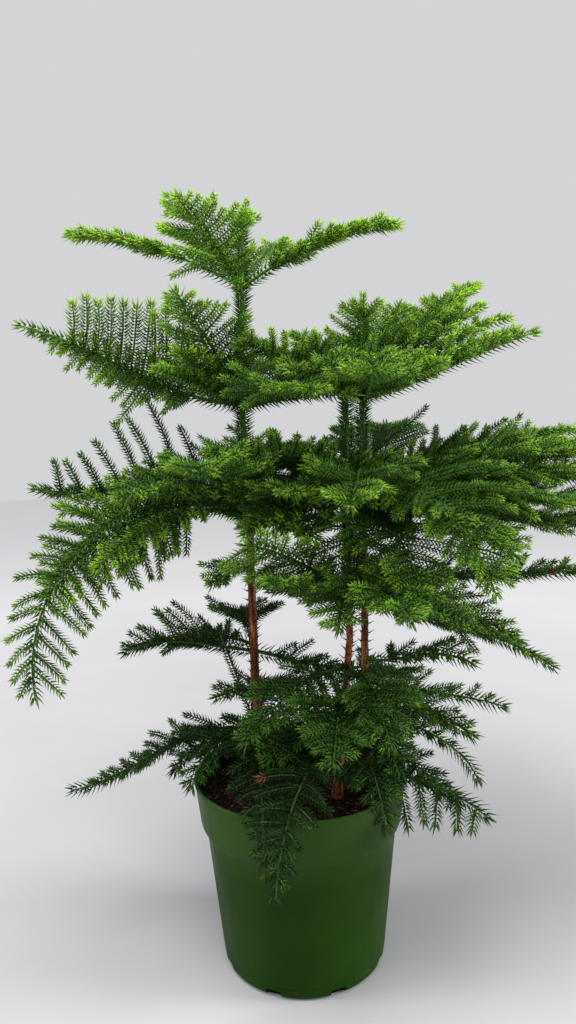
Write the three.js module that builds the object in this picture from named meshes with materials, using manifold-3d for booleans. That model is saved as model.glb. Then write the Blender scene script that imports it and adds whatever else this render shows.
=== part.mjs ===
// A Norfolk Island pine in a plain nursery pot: three young stems that grow as one clump, each with
// tiers of flat sprays. Millimetres, +Z up, +Y away from the front. The origin is the middle of the
// pot's underside. Headings turn from +X towards +Y, and rises are measured up from the level.
import * as THREE from "three";
import { mergeVertices } from "three/addons/utils/BufferGeometryUtils.js";
import Module from "manifold-3d";

const wasm = await Module();
wasm.setup();

// Driving sizes of the pot
const POT_HEIGHT = 245;
const POT_RIM_RADIUS = 135;
const POT_RIM_LIP = 4;
const POT_RIM_EDGE = 0.6;
const POT_BAND_RADIUS = 128;
const POT_BAND_HEIGHT = 58;
const POT_LEDGE_HEIGHT = 9;
const POT_BODY_RADIUS = 121;
const POT_FOOT_RADIUS = 104;
const POT_FOOT_ROUND = 9;
const POT_WALL = 2.4;
const POT_FLOOR = 4;
const POT_INNER_ROUND = 6;
const POT_SIDES = 32;
const DRAIN_COUNT = 8;
const DRAIN_WIDTH = 20;
const DRAIN_HEIGHT = 11;
const DRAIN_DEPTH = 9;
const SOIL_LEVEL = 220;
const SOIL_CLEAR = 0.45;

// Sizes shared by all wood and foliage
const GAP = 0.3;
const STEM_SIDES = 12;
const FLARE_STEPS = [0, 5, 12, 25, 50];
const FLARE_FADE = 16;
const LIMB_SIDES = 6;
const LIMB_STEPS = 3;
const LIMB_FOOT_RADIUS = 2.9;
const LIMB_TIP_RADIUS = 2.2;
const RIB_FOOT_WIDTH = 4.6;
const RIB_TIP_WIDTH = 2.6;
const RIB_STEPS = 24;
const BLADE_THICKNESS = 1.8;
const BLADE_FROM_RIB = 14;
const SHOOT_SPACING = 29;
const SHOOT_WIDTH = 20;
const SHOOT_SLIMMEST = 0.3;
const SHOOT_ROOT_WIDTH = 4.4;
const SHOOT_OPEN = 62;
const SHOOT_OPEN_SPREAD = 4;
const SHOOT_LENGTH_SPREAD = 0.16;
const SHOOT_STAGGER = 0.25;
const SHOOT_SWEEP = 14;
const SHOOT_SAG = 0.0005;
const SHORTEST_SHOOT = 13;
const LONG_SHOOT = 52;
const LAST_SHOOT = 0.95;
const END_SPRAY = 38;
const END_SPRAY_SHARE = 0.4;
const END_SPRAY_HALF = 9;
const END_POINT = 3;
const TUFT_SHOOTS = 5;
const TUFT_SHOOT_WIDTH = 13;
const TUFT_TOOTH = 0.45;
const TUFT_FOOT = 4;
const TUFT_RISE = 32;
const TUFT_TURN = 0.3;
const SEED = 20260;
const SEED_STEP = 101;

// Where along a spray its side shoots are longest, and the shares of that length at its two ends
const LONGEST_AT = 0.42;
const LONGEST_PAST_BARE = 0.1;
const FIRST_SHOOT_SHARE = 0.72;
const LAST_SHOOT_SHARE = 0.12;

// Colours, with the foliage from its lowest tier to its highest
const POT_GREEN = 0x42613d;
const SOIL_BROWN = 0x2a1f18;
const BARK_BROWN = 0x6b4632;
const BOUGH_GREEN = 0x5a6b34;
const LOWEST_GREEN = new THREE.Color(0x2c5233);
const HIGHEST_GREEN = new THREE.Color(0x6ba52e);
const HIGHEST_TIER = 860;

// Each stem: the radius of its root flare, and the points its middle line passes, [x, y, height,
// radius], from the soil to its tip
const STEMS = {
  tall: {
    flare: 10,
    points: [[-57, 65, SOIL_LEVEL, 7], [-57, 66, 570, 4.4], [-62, 68, 720, 3.6], [-53, 68, 930, 2]],
  },
  front: {
    flare: 8,
    points: [[46, -23, SOIL_LEVEL, 5.4], [66, -15, 420, 4.2], [68, -8, 600, 3.2], [68, 0, 735, 2]],
  },
  right: {
    flare: 8.5,
    points: [[88, 60, SOIL_LEVEL, 5.8], [92, 62, 440, 4.6], [93, 64, 720, 3.4], [97, 66, 815, 2.2]],
  },
};

// Each spray: its stem, the height it leaves at, its heading, its length, its rise at the foot,
// middle and tip, and how far its longest side shoots reach. What follows is optional: bare is the
// share of its length without side shoots, bank rolls its plane to one side, lift raises both rows
// of shoots, limb gives it a bough of its own along the bare share, and bend splits it there.
const SPRAYS = [
  spray("tall_1_left", "tall", 858, 181, 230, [32, 18, 2], 24, { bare: 0.36, limb: true }),
  spray("tall_1_front_left", "tall", 852, 255, 220, [25, 19, 12], 66, { bare: 0.15, bank: -10 }),
  spray("tall_1_right", "tall", 858, 332, 220, [27, 15, -7], 28, { limb: true }),
  spray("tall_1_back", "tall", 864, 115, 185, [34, 24, 14], 45),
  spray("tall_1_back_right", "tall", 866, 48, 170, [36, 25, 14], 40),
  spray("tall_2_left", "tall", 711, 183, 300, [4, 27, 14], 100, { bank: -35, lift: 25, limb: true }),
  spray("tall_2_front_left", "tall", 718, 252, 210, [38, 36, 28], 78),
  spray("tall_2_front_right", "tall", 710, 292, 240, [10, 3, -4], 80),
  spray("tall_2_right", "tall", 718, 338, 250, [18, 10, 3], 85),
  spray("tall_2_back", "tall", 724, 85, 220, [28, 18, 8], 75),
  spray("tall_3_left", "tall", 568, 199, 275, [34, 4, 14], 110,
    { bare: 0.24, bank: -35, lift: 30, limb: true }),
  spray("tall_3_arch", "tall", 559, 216, 442, [36, -30, -98], 95, { limb: true, bend: 0.58 }),
  spray("tall_3_front", "tall", 570, 258, 250, [32, 18, 5], 85),
  spray("tall_3_right", "tall", 562, 322, 235, [18, 8, -4], 85),
  spray("tall_3_back", "tall", 574, 100, 230, [22, 8, -5], 85),
  spray("tall_4_left", "tall", 476, 232, 130, [30, 0, -30], 60, { bare: 0.12 }),
  spray("tall_5_left", "tall", 384, 184, 176, [6, 8, -28], 55, { bank: -35, lift: 25 }),
  spray("tall_5_right", "tall", 384, 345, 128, [-12, -10, -8], 45),
  spray("tall_5_back", "tall", 400, 100, 170, [15, -2, -20], 65),
  spray("tall_6_left", "tall", 328, 232, 80, [20, 10, 0], 35),
  spray("tall_7_left", "tall", 272, 186, 266, [22, -26, -6], 42),
  spray("tall_7_front", "tall", 290, 262, 275, [14, -12, -80], 55),
  spray("right_1_right", "right", 714, 345, 226, [10, 23, 12], 50),
  spray("right_1_back_right", "right", 729, 39, 275, [39, 35, 20], 60),
  spray("right_1_far_right", "right", 720, 14, 231, [25, 28, 10], 50),
  spray("right_1_front", "right", 716, 268, 246, [8, 6, 4], 70),
  spray("right_1_back", "right", 731, 125, 160, [52, 45, 38], 60),
  spray("right_1_left", "right", 724, 212, 190, [32, 25, 12], 80),
  spray("right_2_right", "right", 590, 345, 340, [14, 6, 4], 100, { bank: -25, lift: 25, limb: true }),
  spray("right_2_front_right", "right", 612, 300, 285, [6, -22, -66], 95),
  spray("right_2_left", "right", 597, 215, 240, [22, 11, 0], 90),
  spray("right_2_front", "right", 606, 262, 240, [18, -1, -20], 80),
  spray("right_2_back", "right", 600, 75, 240, [20, 7, -5], 85),
  spray("right_3_right", "right", 490, 352, 338, [-14, 4, -6], 60),
  spray("right_3_lower", "right", 455, 343, 249, [-12, -12, -38], 60),
  spray("right_4_front_right", "right", 370, 317, 170, [0, 18, -20], 60),
  spray("right_4_right", "right", 350, 345, 191, [-24, -6, -15], 60),
  spray("right_5_right", "right", 312, 335, 182, [-30, -20, -70], 45),
  spray("right_6_front_right", "right", 262, 303, 225, [10, -20, -50], 55),
  spray("front_1_left", "front", 490, 237, 181, [16, 28, 20], 65),
  spray("front_1_front", "front", 482, 285, 220, [20, -5, -30], 70),
  spray("front_2_left", "front", 395, 222, 180, [10, -15, -40], 65),
  spray("front_3_front", "front", 350, 262, 180, [15, -5, -25], 65),
  spray("front_3_right", "front", 354, 330, 170, [10, -10, -30], 65),
  spray("front_4_front_left", "front", 298, 244, 262, [8, -18, -88], 50),
  spray("front_4_front", "front", 311, 264, 253, [17, -14, -71], 50),
];
const TUFTS = [
  { name: "tall_leader", stem: "tall", reach: 26 },
  { name: "right_leader", stem: "right", reach: 32 },
];

// One row of the table, with the usual values for what it leaves out
function spray(name, stem, height, heading, length, rises, reach, extra = {}) {
  return { name, stem, height, heading, length, rises, reach, bare: 0.2, bank: 0, lift: 15, ...extra };
}

// A repeatable row of numbers from 0 to 1
function draws(seed) {
  let state = seed;
  return () => {
    state = (state * 16807) % 2147483647;
    return state / 2147483647;
  };
}

function radians(degrees) {
  return (degrees * Math.PI) / 180;
}

function mix(a, b, share) {
  return a + (b - a) * share;
}

// A closed geometry as a solid, its faces turned outwards
function solid(geometry) {
  const bare = geometry.clone();
  bare.deleteAttribute("normal");
  bare.deleteAttribute("uv");
  const merged = mergeVertices(bare, 1e-5);
  const places = merged.attributes.position.array;
  const corners = [];
  let volume = 0;
  for (let i = 0; i < merged.index.count; i += 3) {
    const [a, b, c] = [0, 1, 2].map((k) => merged.index.getX(i + k));
    if (a === b || b === c || c === a) continue;
    const [p, q, r] = [a, b, c].map((k) => new THREE.Vector3().fromArray(places, k * 3));
    volume += p.dot(q.cross(r));
    corners.push(a, b, c);
  }
  if (volume < 0) {
    for (let i = 0; i < corners.length; i += 3) {
      [corners[i], corners[i + 1]] = [corners[i + 1], corners[i]];
    }
  }
  const mesh = new wasm.Mesh({
    numProp: 3,
    vertProperties: new Float32Array(places),
    triVerts: new Uint32Array(corners),
  });
  mesh.merge();
  return new wasm.Manifold(mesh);
}

// The largest body of a solid: loose scraps are dropped
function largest(whole) {
  return whole.decompose().sort((a, b) => b.volume() - a.volume())[0];
}

function part(name, body, colour, roughness) {
  const mesh = body.getMesh();
  const geometry = new THREE.BufferGeometry();
  geometry.setAttribute("position", new THREE.BufferAttribute(mesh.vertProperties, 3));
  geometry.setIndex(new THREE.BufferAttribute(mesh.triVerts, 1));
  geometry.computeVertexNormals();
  const material = new THREE.MeshStandardMaterial({ color: colour, roughness, metalness: 0 });
  const result = new THREE.Mesh(geometry, material);
  result.name = name;
  return result;
}

// A line through space: aim(share) gives its forward and sideways directions there
function course(start, length, steps, aim) {
  const spots = [];
  const place = start.clone();
  for (let i = 0; i <= steps; i++) {
    const { forward, across } = aim(i / steps);
    spots.push({ place: place.clone(), forward, across });
    place.addScaledVector(aim((i + 0.5) / steps).forward, length / steps);
  }
  return { length, spots };
}

// The place and directions at a distance along a course, straight on past either end
function spotAt(line, distance) {
  const last = line.spots.length - 1;
  const inside = Math.min(Math.max(distance, 0), line.length);
  const count = (inside / line.length) * last;
  const from = line.spots[Math.min(Math.floor(count), last - 1)];
  const to = line.spots[Math.min(Math.floor(count), last - 1) + 1];
  const share = count - Math.min(Math.floor(count), last - 1);
  const forward = from.forward.clone().lerp(to.forward, share).normalize();
  const normal = from.across.clone().lerp(to.across, share).cross(forward).normalize();
  const across = forward.clone().cross(normal);
  const place = from.place.clone().lerp(to.place, share).addScaledVector(forward, distance - inside);
  return { place, forward, across, normal };
}

// Lays a geometry that was drawn along Y onto a course: X goes across it, Z along its normal
function laidAlong(geometry, line, from = 0) {
  const places = geometry.attributes.position;
  for (let i = 0; i < places.count; i++) {
    const spot = spotAt(line, from + places.getY(i));
    const place = spot.place.clone();
    place.addScaledVector(spot.across, places.getX(i)).addScaledVector(spot.normal, places.getZ(i));
    places.setXYZ(i, place.x, place.y, place.z);
  }
  return geometry;
}

// A round rod whose radius runs from one size to another, along part of a course
function rod(line, from, to, footRadius, tipRadius, sides, steps) {
  const outline = [new THREE.Vector2(0, 0)];
  for (let i = 0; i <= steps; i++) {
    outline.push(new THREE.Vector2(mix(footRadius, tipRadius, i / steps), ((to - from) * i) / steps));
  }
  outline.push(new THREE.Vector2(0, to - from));
  return solid(laidAlong(new THREE.LatheGeometry(outline, sides), line, from));
}

// The middle point and radius of a stem at a height
function stemAt(stem, height) {
  const points = STEMS[stem].points;
  let k = 1;
  while (k < points.length - 1 && points[k][2] < height) k += 1;
  const share = (height - points[k - 1][2]) / (points[k][2] - points[k - 1][2]);
  const [x, y, , radius] = points[k].map((value, axis) => mix(points[k - 1][axis], value, share));
  return { place: new THREE.Vector3(x, y, height), radius };
}

// A stem in level slices, flared at the soil and cut flat there
function stemSolid(name) {
  const { flare, points } = STEMS[name];
  const foot = SOIL_LEVEL + GAP;
  const top = points[points.length - 1][2];
  const heights = [...FLARE_STEPS.map((step) => foot + step), ...points.slice(1).map((point) => point[2])];
  const outline = [new THREE.Vector2(0, foot)];
  for (const height of heights) {
    const radius = stemAt(name, height).radius;
    const spread = (flare - points[0][3]) * Math.exp((foot - height) / FLARE_FADE);
    outline.push(new THREE.Vector2(radius + spread, height));
  }
  outline.push(new THREE.Vector2(0, top));
  const geometry = new THREE.LatheGeometry(outline, STEM_SIDES);
  const places = geometry.attributes.position;
  for (let i = 0; i < places.count; i++) {
    const { place } = stemAt(name, places.getY(i));
    places.setXYZ(i, place.x + places.getX(i), place.y - places.getZ(i), place.z);
  }
  return solid(geometry);
}

// The middle line of a spray, from the middle of its stem
function midrib(row) {
  const heading = radians(row.heading);
  const level = new THREE.Vector3(Math.cos(heading), Math.sin(heading), 0);
  const right = new THREE.Vector3(Math.sin(heading), -Math.cos(heading), 0);
  const [foot, middle, tip] = row.rises;
  const aim = (t) => {
    const rise = radians(foot * (1 - t) * (1 - 2 * t) + 4 * middle * t * (1 - t) + tip * t * (2 * t - 1));
    const forward = level.clone().multiplyScalar(Math.cos(rise));
    forward.z = Math.sin(rise);
    const up = right.clone().cross(forward);
    const bank = radians(row.bank);
    const across = right.clone().multiplyScalar(Math.cos(bank)).addScaledVector(up, Math.sin(bank));
    return { forward, across };
  };
  return course(stemAt(row.stem, row.height).place, row.length, RIB_STEPS, aim);
}

// How far along its course a bough or midrib starts, for its square foot to clear the leaning stem
function seat(row) {
  const { place, radius } = stemAt(row.stem, row.height);
  const slope = stemAt(row.stem, row.height + 1).place.sub(place);
  const lean = slope.x * Math.cos(radians(row.heading)) + slope.y * Math.sin(radians(row.heading));
  const rise = radians(row.rises[0]);
  const half = row.limb ? LIMB_FOOT_RADIUS : RIB_FOOT_WIDTH / 2;
  const raised = row.limb ? 0 : half * Math.tan(radians(row.lift));
  const corner = half * Math.sign(rise) + raised;
  const level = radius + GAP + corner * (Math.sin(rise) + lean * Math.cos(rise));
  return level / (Math.cos(rise) - lean * Math.sin(rise));
}

// How long a side shoot is, as a share of the longest, by its place along the spray
function shootShare(t, bare) {
  const peak = Math.max(LONGEST_AT, bare + LONGEST_PAST_BARE);
  if (t < peak) return mix(FIRST_SHOOT_SHARE, 1, (t - bare) / (peak - bare));
  return mix(1, LAST_SHOOT_SHARE, (t - peak) / (1 - peak));
}

// The teeth of a blade, from its root to its tip: shares of its length and of its half width
const LONG_TEETH = [[0.34, 1], [0.37, 0.36], [0.7, 0.78]];
const SHORT_TEETH = [[0.5, 1]];

// A point of a side shoot on the flat spray: along the shoot, and back from its middle line
function onShoot(along, back, length, open) {
  const mean = radians(open - (SHOOT_SWEEP * along) / (2 * length));
  const here = radians(open - (SHOOT_SWEEP * along) / length);
  return [
    along * Math.sin(mean) + back * Math.cos(here),
    along * Math.cos(mean) - back * Math.sin(here),
  ];
}

// The outline of a side shoot on the flat spray, from its back root corner round to its front one
function shootOutline({ foot, hand, length, open }, ribHalf, roomy) {
  const teeth = length > LONG_SHOOT ? LONG_TEETH : SHORT_TEETH;
  const half = Math.min(SHOOT_WIDTH / 2, length * SHOOT_SLIMMEST) + roomy;
  const back = teeth.map(([along, wide]) => onShoot(along * length, wide * half, length, open));
  const front = teeth.map(([along, wide]) => onShoot(along * length, -wide * half, length, open)).reverse();
  const tip = onShoot(length + roomy, 0, length, open);
  const outer = [...back, tip, ...front].map(([x, y]) => [hand * (ribHalf + x), foot + y]);
  const root = SHOOT_ROOT_WIDTH / 2 + roomy;
  return [[hand * ribHalf, foot - root], ...outer, [hand * ribHalf, foot + root]];
}

function ribHalfAt(row, distance) {
  return mix(RIB_FOOT_WIDTH, RIB_TIP_WIDTH, distance / row.length) / 2;
}

// Bends a flat outline over its spray: thick at the midrib, both rows raised, and sagging outwards
function sprayBlade(row, line, outline, roomy) {
  const shape = new THREE.Shape(outline.map(([x, y]) => new THREE.Vector2(x, y)));
  const flat = new THREE.ExtrudeGeometry(shape, { depth: 1, bevelEnabled: false, steps: 1 });
  const raise = Math.tan(radians(row.lift));
  const places = flat.attributes.position;
  for (let i = 0; i < places.count; i++) {
    const [x, y, z] = [places.getX(i), places.getY(i), places.getZ(i) - 0.5];
    const out = Math.abs(x);
    const ribThick = 2 * ribHalfAt(row, Math.min(y, row.length));
    const thick = mix(ribThick, BLADE_THICKNESS, Math.min(out / BLADE_FROM_RIB, 1));
    const spot = spotAt(line, y);
    const place = spot.place.clone().addScaledVector(spot.across, x);
    place.addScaledVector(spot.normal, z * (thick + 2 * roomy) + out * raise);
    place.z -= SHOOT_SAG * x * x;
    places.setXYZ(i, place.x, place.y, place.z);
  }
  return solid(flat);
}

// A straight course from a place, at a heading and a rise
function straight(start, heading, rise, length) {
  const turn = radians(heading);
  const level = Math.cos(radians(rise));
  const across = new THREE.Vector3(Math.sin(turn), -Math.cos(turn), 0);
  const forward = new THREE.Vector3(level * Math.cos(turn), level * Math.sin(turn), Math.sin(radians(rise)));
  return course(start, length, 1, () => ({ forward, across }));
}

// A short new shoot: a thin blade with a tooth on each side
function tuftShoot(line) {
  const half = TUFT_SHOOT_WIDTH / 2;
  const root = RIB_TIP_WIDTH / 2;
  const tooth = line.length * TUFT_TOOTH;
  const outline = [[root, 0], [half, tooth], [0, line.length], [-half, tooth], [-root, 0]];
  const shape = new THREE.Shape(outline.map(([x, y]) => new THREE.Vector2(x, y)));
  const flat = new THREE.ExtrudeGeometry(shape, { depth: RIB_TIP_WIDTH, bevelEnabled: false });
  return solid(laidAlong(flat.translate(0, 0, -RIB_TIP_WIDTH / 2), line));
}

// A solid turned round the pot's axis from an outline of [radius, height]
function turned(points) {
  const outline = points.map(([x, y]) => new THREE.Vector2(x, y));
  return solid(new THREE.LatheGeometry(outline, POT_SIDES).rotateX(Math.PI / 2));
}

// The pot: a turned shell with a collar at its rim and drain gaps round its foot
function potSolid() {
  const bandFoot = POT_HEIGHT - POT_BAND_HEIGHT;
  const ledgeFoot = bandFoot - POT_LEDGE_HEIGHT;
  const outside = [
    [0, 0],
    [POT_FOOT_RADIUS - POT_FOOT_ROUND, 0],
    [POT_FOOT_RADIUS - POT_FOOT_ROUND / 3, POT_FOOT_ROUND / 3],
    [POT_FOOT_RADIUS, POT_FOOT_ROUND],
    [POT_BODY_RADIUS, ledgeFoot],
    [POT_BAND_RADIUS, bandFoot],
    [POT_RIM_RADIUS, POT_HEIGHT - POT_RIM_LIP],
    [POT_RIM_RADIUS - POT_RIM_EDGE, POT_HEIGHT],
    [POT_RIM_RADIUS - POT_RIM_EDGE - POT_WALL, POT_HEIGHT],
  ];
  let body = turned([...outside, ...potInside()]);
  for (let i = 0; i < DRAIN_COUNT; i++) {
    const gap = new THREE.BoxGeometry(DRAIN_DEPTH * 2, DRAIN_WIDTH, DRAIN_HEIGHT * 2);
    gap.translate(POT_FOOT_RADIUS, 0, 0).rotateZ(radians((360 / DRAIN_COUNT) * (i + 0.5)));
    body = body.subtract(solid(gap));
  }
  return body;
}

// The wall's inner outline from just under the rim down to the middle of the floor
function potInside() {
  const bandFoot = POT_HEIGHT - POT_BAND_HEIGHT;
  return [
    [POT_BAND_RADIUS - POT_WALL, bandFoot],
    [POT_BODY_RADIUS - POT_WALL, bandFoot - POT_LEDGE_HEIGHT],
    [POT_FOOT_RADIUS - POT_WALL - POT_INNER_ROUND, POT_FLOOR + DRAIN_HEIGHT],
    [POT_FOOT_RADIUS - POT_WALL - 2 * POT_INNER_ROUND, POT_FLOOR],
    [0, POT_FLOOR],
  ];
}

// The soil: it fills the pot to a flat top, clear of the wall and of the floor
function soilSolid() {
  const foot = POT_FLOOR + GAP;
  const bandShare = 1 - (POT_HEIGHT - SOIL_LEVEL) / POT_BAND_HEIGHT;
  const topRadius = mix(POT_BAND_RADIUS, POT_RIM_RADIUS, bandShare) - POT_WALL;
  const wall = potInside().slice(0, -1).reverse();
  const side = wall.map(([x, y]) => [x - SOIL_CLEAR, Math.max(y, foot)]);
  return turned([[0, foot], ...side, [topRadius - 2 * SOIL_CLEAR, SOIL_LEVEL], [0, SOIL_LEVEL]]);
}

// Everything placed so far, and what a new piece would touch
const placed = [];
function place(owner, body) {
  placed.push({ owner, body, box: body.boundingBox() });
}
function touchesAny(owner, body) {
  const { min, max } = body.boundingBox();
  return placed.some((other) => {
    if (other.owner === owner) return false;
    const far = other.box;
    const apart = [0, 1, 2].some((axis) => max[axis] < far.min[axis] || min[axis] > far.max[axis]);
    return !apart && body.intersect(other.body).volume() > 0;
  });
}

const plant = new THREE.Group();
const pot = potSolid();
const soil = soilSolid();
place("pot", pot);
place("soil", soil);
plant.add(part("pot", pot, POT_GREEN, 0.5));
plant.add(part("soil", soil, SOIL_BROWN, 0.95));

for (const name of Object.keys(STEMS)) {
  const body = stemSolid(name);
  place(`stem_${name}`, body);
  plant.add(part(`stem_${name}`, body, BARK_BROWN, 0.8));
}

// Boughs and midribs come first, so that side shoots can keep clear of all of them
const masses = [];
for (const row of SPRAYS) {
  const line = midrib(row);
  const start = seat(row);
  const bareEnd = row.bare * row.length;
  if (row.limb) {
    const bough = rod(line, start, bareEnd, LIMB_FOOT_RADIUS, LIMB_TIP_RADIUS, LIMB_SIDES, LIMB_STEPS);
    place(`bough_${row.name}`, bough);
    plant.add(part(`bough_${row.name}`, bough, BOUGH_GREEN, 0.7));
  }
  const ends = row.bend ? [row.bend * row.length, row.length] : [row.length];
  let from = row.limb ? bareEnd + GAP : start;
  ends.forEach((to, index) => {
    const name = index === 0 ? `needles_${row.name}` : `needles_${row.name}_tip`;
    const rib = sprayBlade(row, line, sprayOutline(row, from, to, []), 0);
    masses.push({ name, row, line, from, to });
    place(name, rib);
    from = to + GAP;
  });
}

// How much of the midrib's end carries needles only
function endSpray(from, to) {
  return Math.min(END_SPRAY, (to - from) * END_SPRAY_SHARE);
}

// The whole flat outline of a mass: up its right side, round its tip, and down its left side
function sprayOutline(row, from, to, shoots) {
  const sideOf = (hand) => {
    const points = [[hand * ribHalfAt(row, from), from]];
    for (const shoot of shoots.filter((other) => other.hand === hand)) {
      points.push(...shootOutline(shoot, ribHalfAt(row, shoot.foot), 0));
    }
    if (to < row.length) return [...points, [hand * ribHalfAt(row, to), to]];
    const spray = endSpray(from, to);
    points.push([hand * ribHalfAt(row, to), to - spray]);
    for (const [along, wide] of LONG_TEETH) {
      points.push([hand * END_SPRAY_HALF * wide, to - spray * (1 - along)]);
    }
    return points;
  };
  const tip = to < row.length ? [] : [[0, to + END_POINT]];
  return [...sideOf(1), ...tip, ...sideOf(-1).reverse()];
}

// The side shoots of a mass in two rows, without those that would touch anything else
for (const mass of masses) {
  const { name, row, line, from, to } = mass;
  const random = draws(SEED + SPRAYS.indexOf(row) * SEED_STEP + 1);
  const count = Math.max(1, Math.round((row.length * (LAST_SHOOT - row.bare)) / SHOOT_SPACING));
  const first = from + SHOOT_ROOT_WIDTH;
  const last = to - SHOOT_ROOT_WIDTH - (to < row.length ? 0 : endSpray(from, to));
  const shoots = [];
  for (let i = 0; i < count; i++) {
    for (const hand of [1, -1]) {
      const share = mix(row.bare, LAST_SHOOT, (i + 0.5 + SHOOT_STAGGER * hand) / count);
      const foot = share * row.length;
      const length = row.reach * shootShare(share, row.bare) * (1 + SHOOT_LENGTH_SPREAD * (random() - 0.5));
      const open = SHOOT_OPEN + SHOOT_OPEN_SPREAD * (random() - 0.5);
      if (length < SHORTEST_SHOOT || foot < first || foot > last) continue;
      const shoot = { foot, hand, length, open };
      const test = sprayBlade(row, line, shootOutline(shoot, ribHalfAt(row, foot), GAP), GAP);
      if (!touchesAny(name, test)) shoots.push(shoot);
    }
  }
  mass.body = sprayBlade(row, line, sprayOutline(row, from, to, shoots), 0);
  const entry = placed.find((other) => other.owner === name);
  entry.body = mass.body;
  entry.box = mass.body.boundingBox();
}

// A ring of new shoots round the tip of each leader, and one that stands up from it
for (const { name, stem, reach } of TUFTS) {
  const points = STEMS[stem].points;
  const [x, y, top] = points[points.length - 1];
  const start = new THREE.Vector3(x, y, top + GAP);
  const lines = [straight(start, 0, 90, reach)];
  for (let i = 0; i < TUFT_SHOOTS; i++) {
    const root = start.clone().setZ(start.z + TUFT_FOOT);
    lines.push(straight(root, (360 / TUFT_SHOOTS) * (i + TUFT_TURN), TUFT_RISE, reach));
  }
  const shoots = lines.map((line) => tuftShoot(line));
  const body = largest(shoots.reduce((whole, shoot) => whole.add(shoot)));
  masses.push({ name: `needles_${name}`, body, row: { height: top } });
}

for (const { name, body, row } of masses) {
  const share = (row.height - SOIL_LEVEL) / (HIGHEST_TIER - SOIL_LEVEL);
  plant.add(part(name, body, LOWEST_GREEN.clone().lerp(HIGHEST_GREEN, share), 0.75));
}

export default plant;
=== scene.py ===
# %% [markdown]
# This lesson dresses a young potted conifer: three slender stems in one nursery pot, with tiers of
# flat sprays whose side shoots are covered in short curved needles. The solid model is loaded first
# as a fixed frame, in metres with +Z up, and the pieces made here take the place of its nodes. The
# needles are far too many to model by hand, so they are written into joined meshes from arrays,
# while the pot, the soil and the stems are modelled with Blender's own tools.
# %% Load the frame
import math

import bpy
import numpy as np
from mathutils import Matrix, Vector


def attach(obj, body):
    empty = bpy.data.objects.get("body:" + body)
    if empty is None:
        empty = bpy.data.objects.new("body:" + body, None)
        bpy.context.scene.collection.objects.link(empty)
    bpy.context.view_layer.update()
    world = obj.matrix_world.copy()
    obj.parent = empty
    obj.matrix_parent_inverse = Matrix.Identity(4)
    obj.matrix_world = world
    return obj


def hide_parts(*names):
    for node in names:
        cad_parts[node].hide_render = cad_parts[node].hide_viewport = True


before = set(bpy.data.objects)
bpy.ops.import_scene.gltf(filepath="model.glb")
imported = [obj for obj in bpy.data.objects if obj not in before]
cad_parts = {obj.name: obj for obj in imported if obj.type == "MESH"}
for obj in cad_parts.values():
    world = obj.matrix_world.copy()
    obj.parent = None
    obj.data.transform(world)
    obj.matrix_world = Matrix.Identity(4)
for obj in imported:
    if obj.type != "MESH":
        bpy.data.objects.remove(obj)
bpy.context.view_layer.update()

# %% [markdown]
# The plant was photographed from about a metre away, a little above its middle, with the camera
# tipped down and slightly rolled. A camera is turned by a matrix whose columns are its right, its up
# and its backward directions. The sensor's 36 mm lie along the picture's long side.
# %% Camera
CAMERA_PLACE = Vector((0.0, -1.0, 0.71))
CAMERA_PITCH = math.radians(7.5)
CAMERA_YAW = math.radians(-0.33)
CAMERA_ROLL = math.radians(1.65)
PICTURE_HEIGHT = 1024
FOCAL_LENGTH_PIXELS = 820
SENSOR = 36.0


def camera_axes(pitch, yaw, roll):
    forward = Vector((math.sin(yaw) * math.cos(pitch), math.cos(yaw) * math.cos(pitch), -math.sin(pitch)))
    level_right = Vector((math.cos(yaw), -math.sin(yaw), 0))
    level_down = forward.cross(level_right)
    right = math.cos(roll) * level_right + math.sin(roll) * level_down
    down = math.cos(roll) * level_down - math.sin(roll) * level_right
    return right, -down, -forward


camera_data = bpy.data.cameras.new("camera")
camera_data.sensor_width = SENSOR
camera_data.lens = SENSOR * FOCAL_LENGTH_PIXELS / PICTURE_HEIGHT
camera = bpy.data.objects.new("camera", camera_data)
bpy.context.scene.collection.objects.link(camera)
turned = Matrix(camera_axes(CAMERA_PITCH, CAMERA_YAW, CAMERA_ROLL)).transposed().to_4x4()
camera.matrix_world = Matrix.Translation(CAMERA_PLACE) @ turned
bpy.context.scene.camera = camera
print("lens", round(camera_data.lens, 2), "mm")

# %% [markdown]
# A material is a small tree of nodes round one shader, and one helper adds every node to it, with
# its inputs given as plain values or as the outputs of other nodes. Colours are given as they are
# read off a screen, from 0 to 255, and are turned into linear light.
# %% Colours and nodes
def colour(red, green, blue):
    shares = [value / 255 for value in (red, green, blue)]
    return tuple(s / 12.92 if s <= 0.04045 else ((s + 0.055) / 1.055) ** 2.4 for s in shares) + (1.0,)


def grey(value):
    return (value, value, value, 1.0)


def add(tree, kind, output, inputs, **settings):
    """Adds a node. Its inputs are plain values or the outputs of other nodes."""
    node = tree.nodes.new("ShaderNode" + kind)
    for name, value in settings.items():
        setattr(node, name, value)
    for name, value in inputs.items():
        if isinstance(value, bpy.types.NodeSocket):
            tree.links.new(value, node.inputs[name])
        else:
            node.inputs[name].default_value = value
    return node.outputs[output]


print("half grey on a screen is", round(colour(128, 128, 128)[0], 3), "of the light")

# %% [markdown]
# These are the steps that come back in every tree: a noise that reads the piece's own coordinates
# and so stays fixed to it, a ramp that turns a pattern into colours, a mix of two colours, and
# arithmetic.
# %% Patterns
def object_place(tree):
    return add(tree, "TexCoord", "Object", {})


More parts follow.
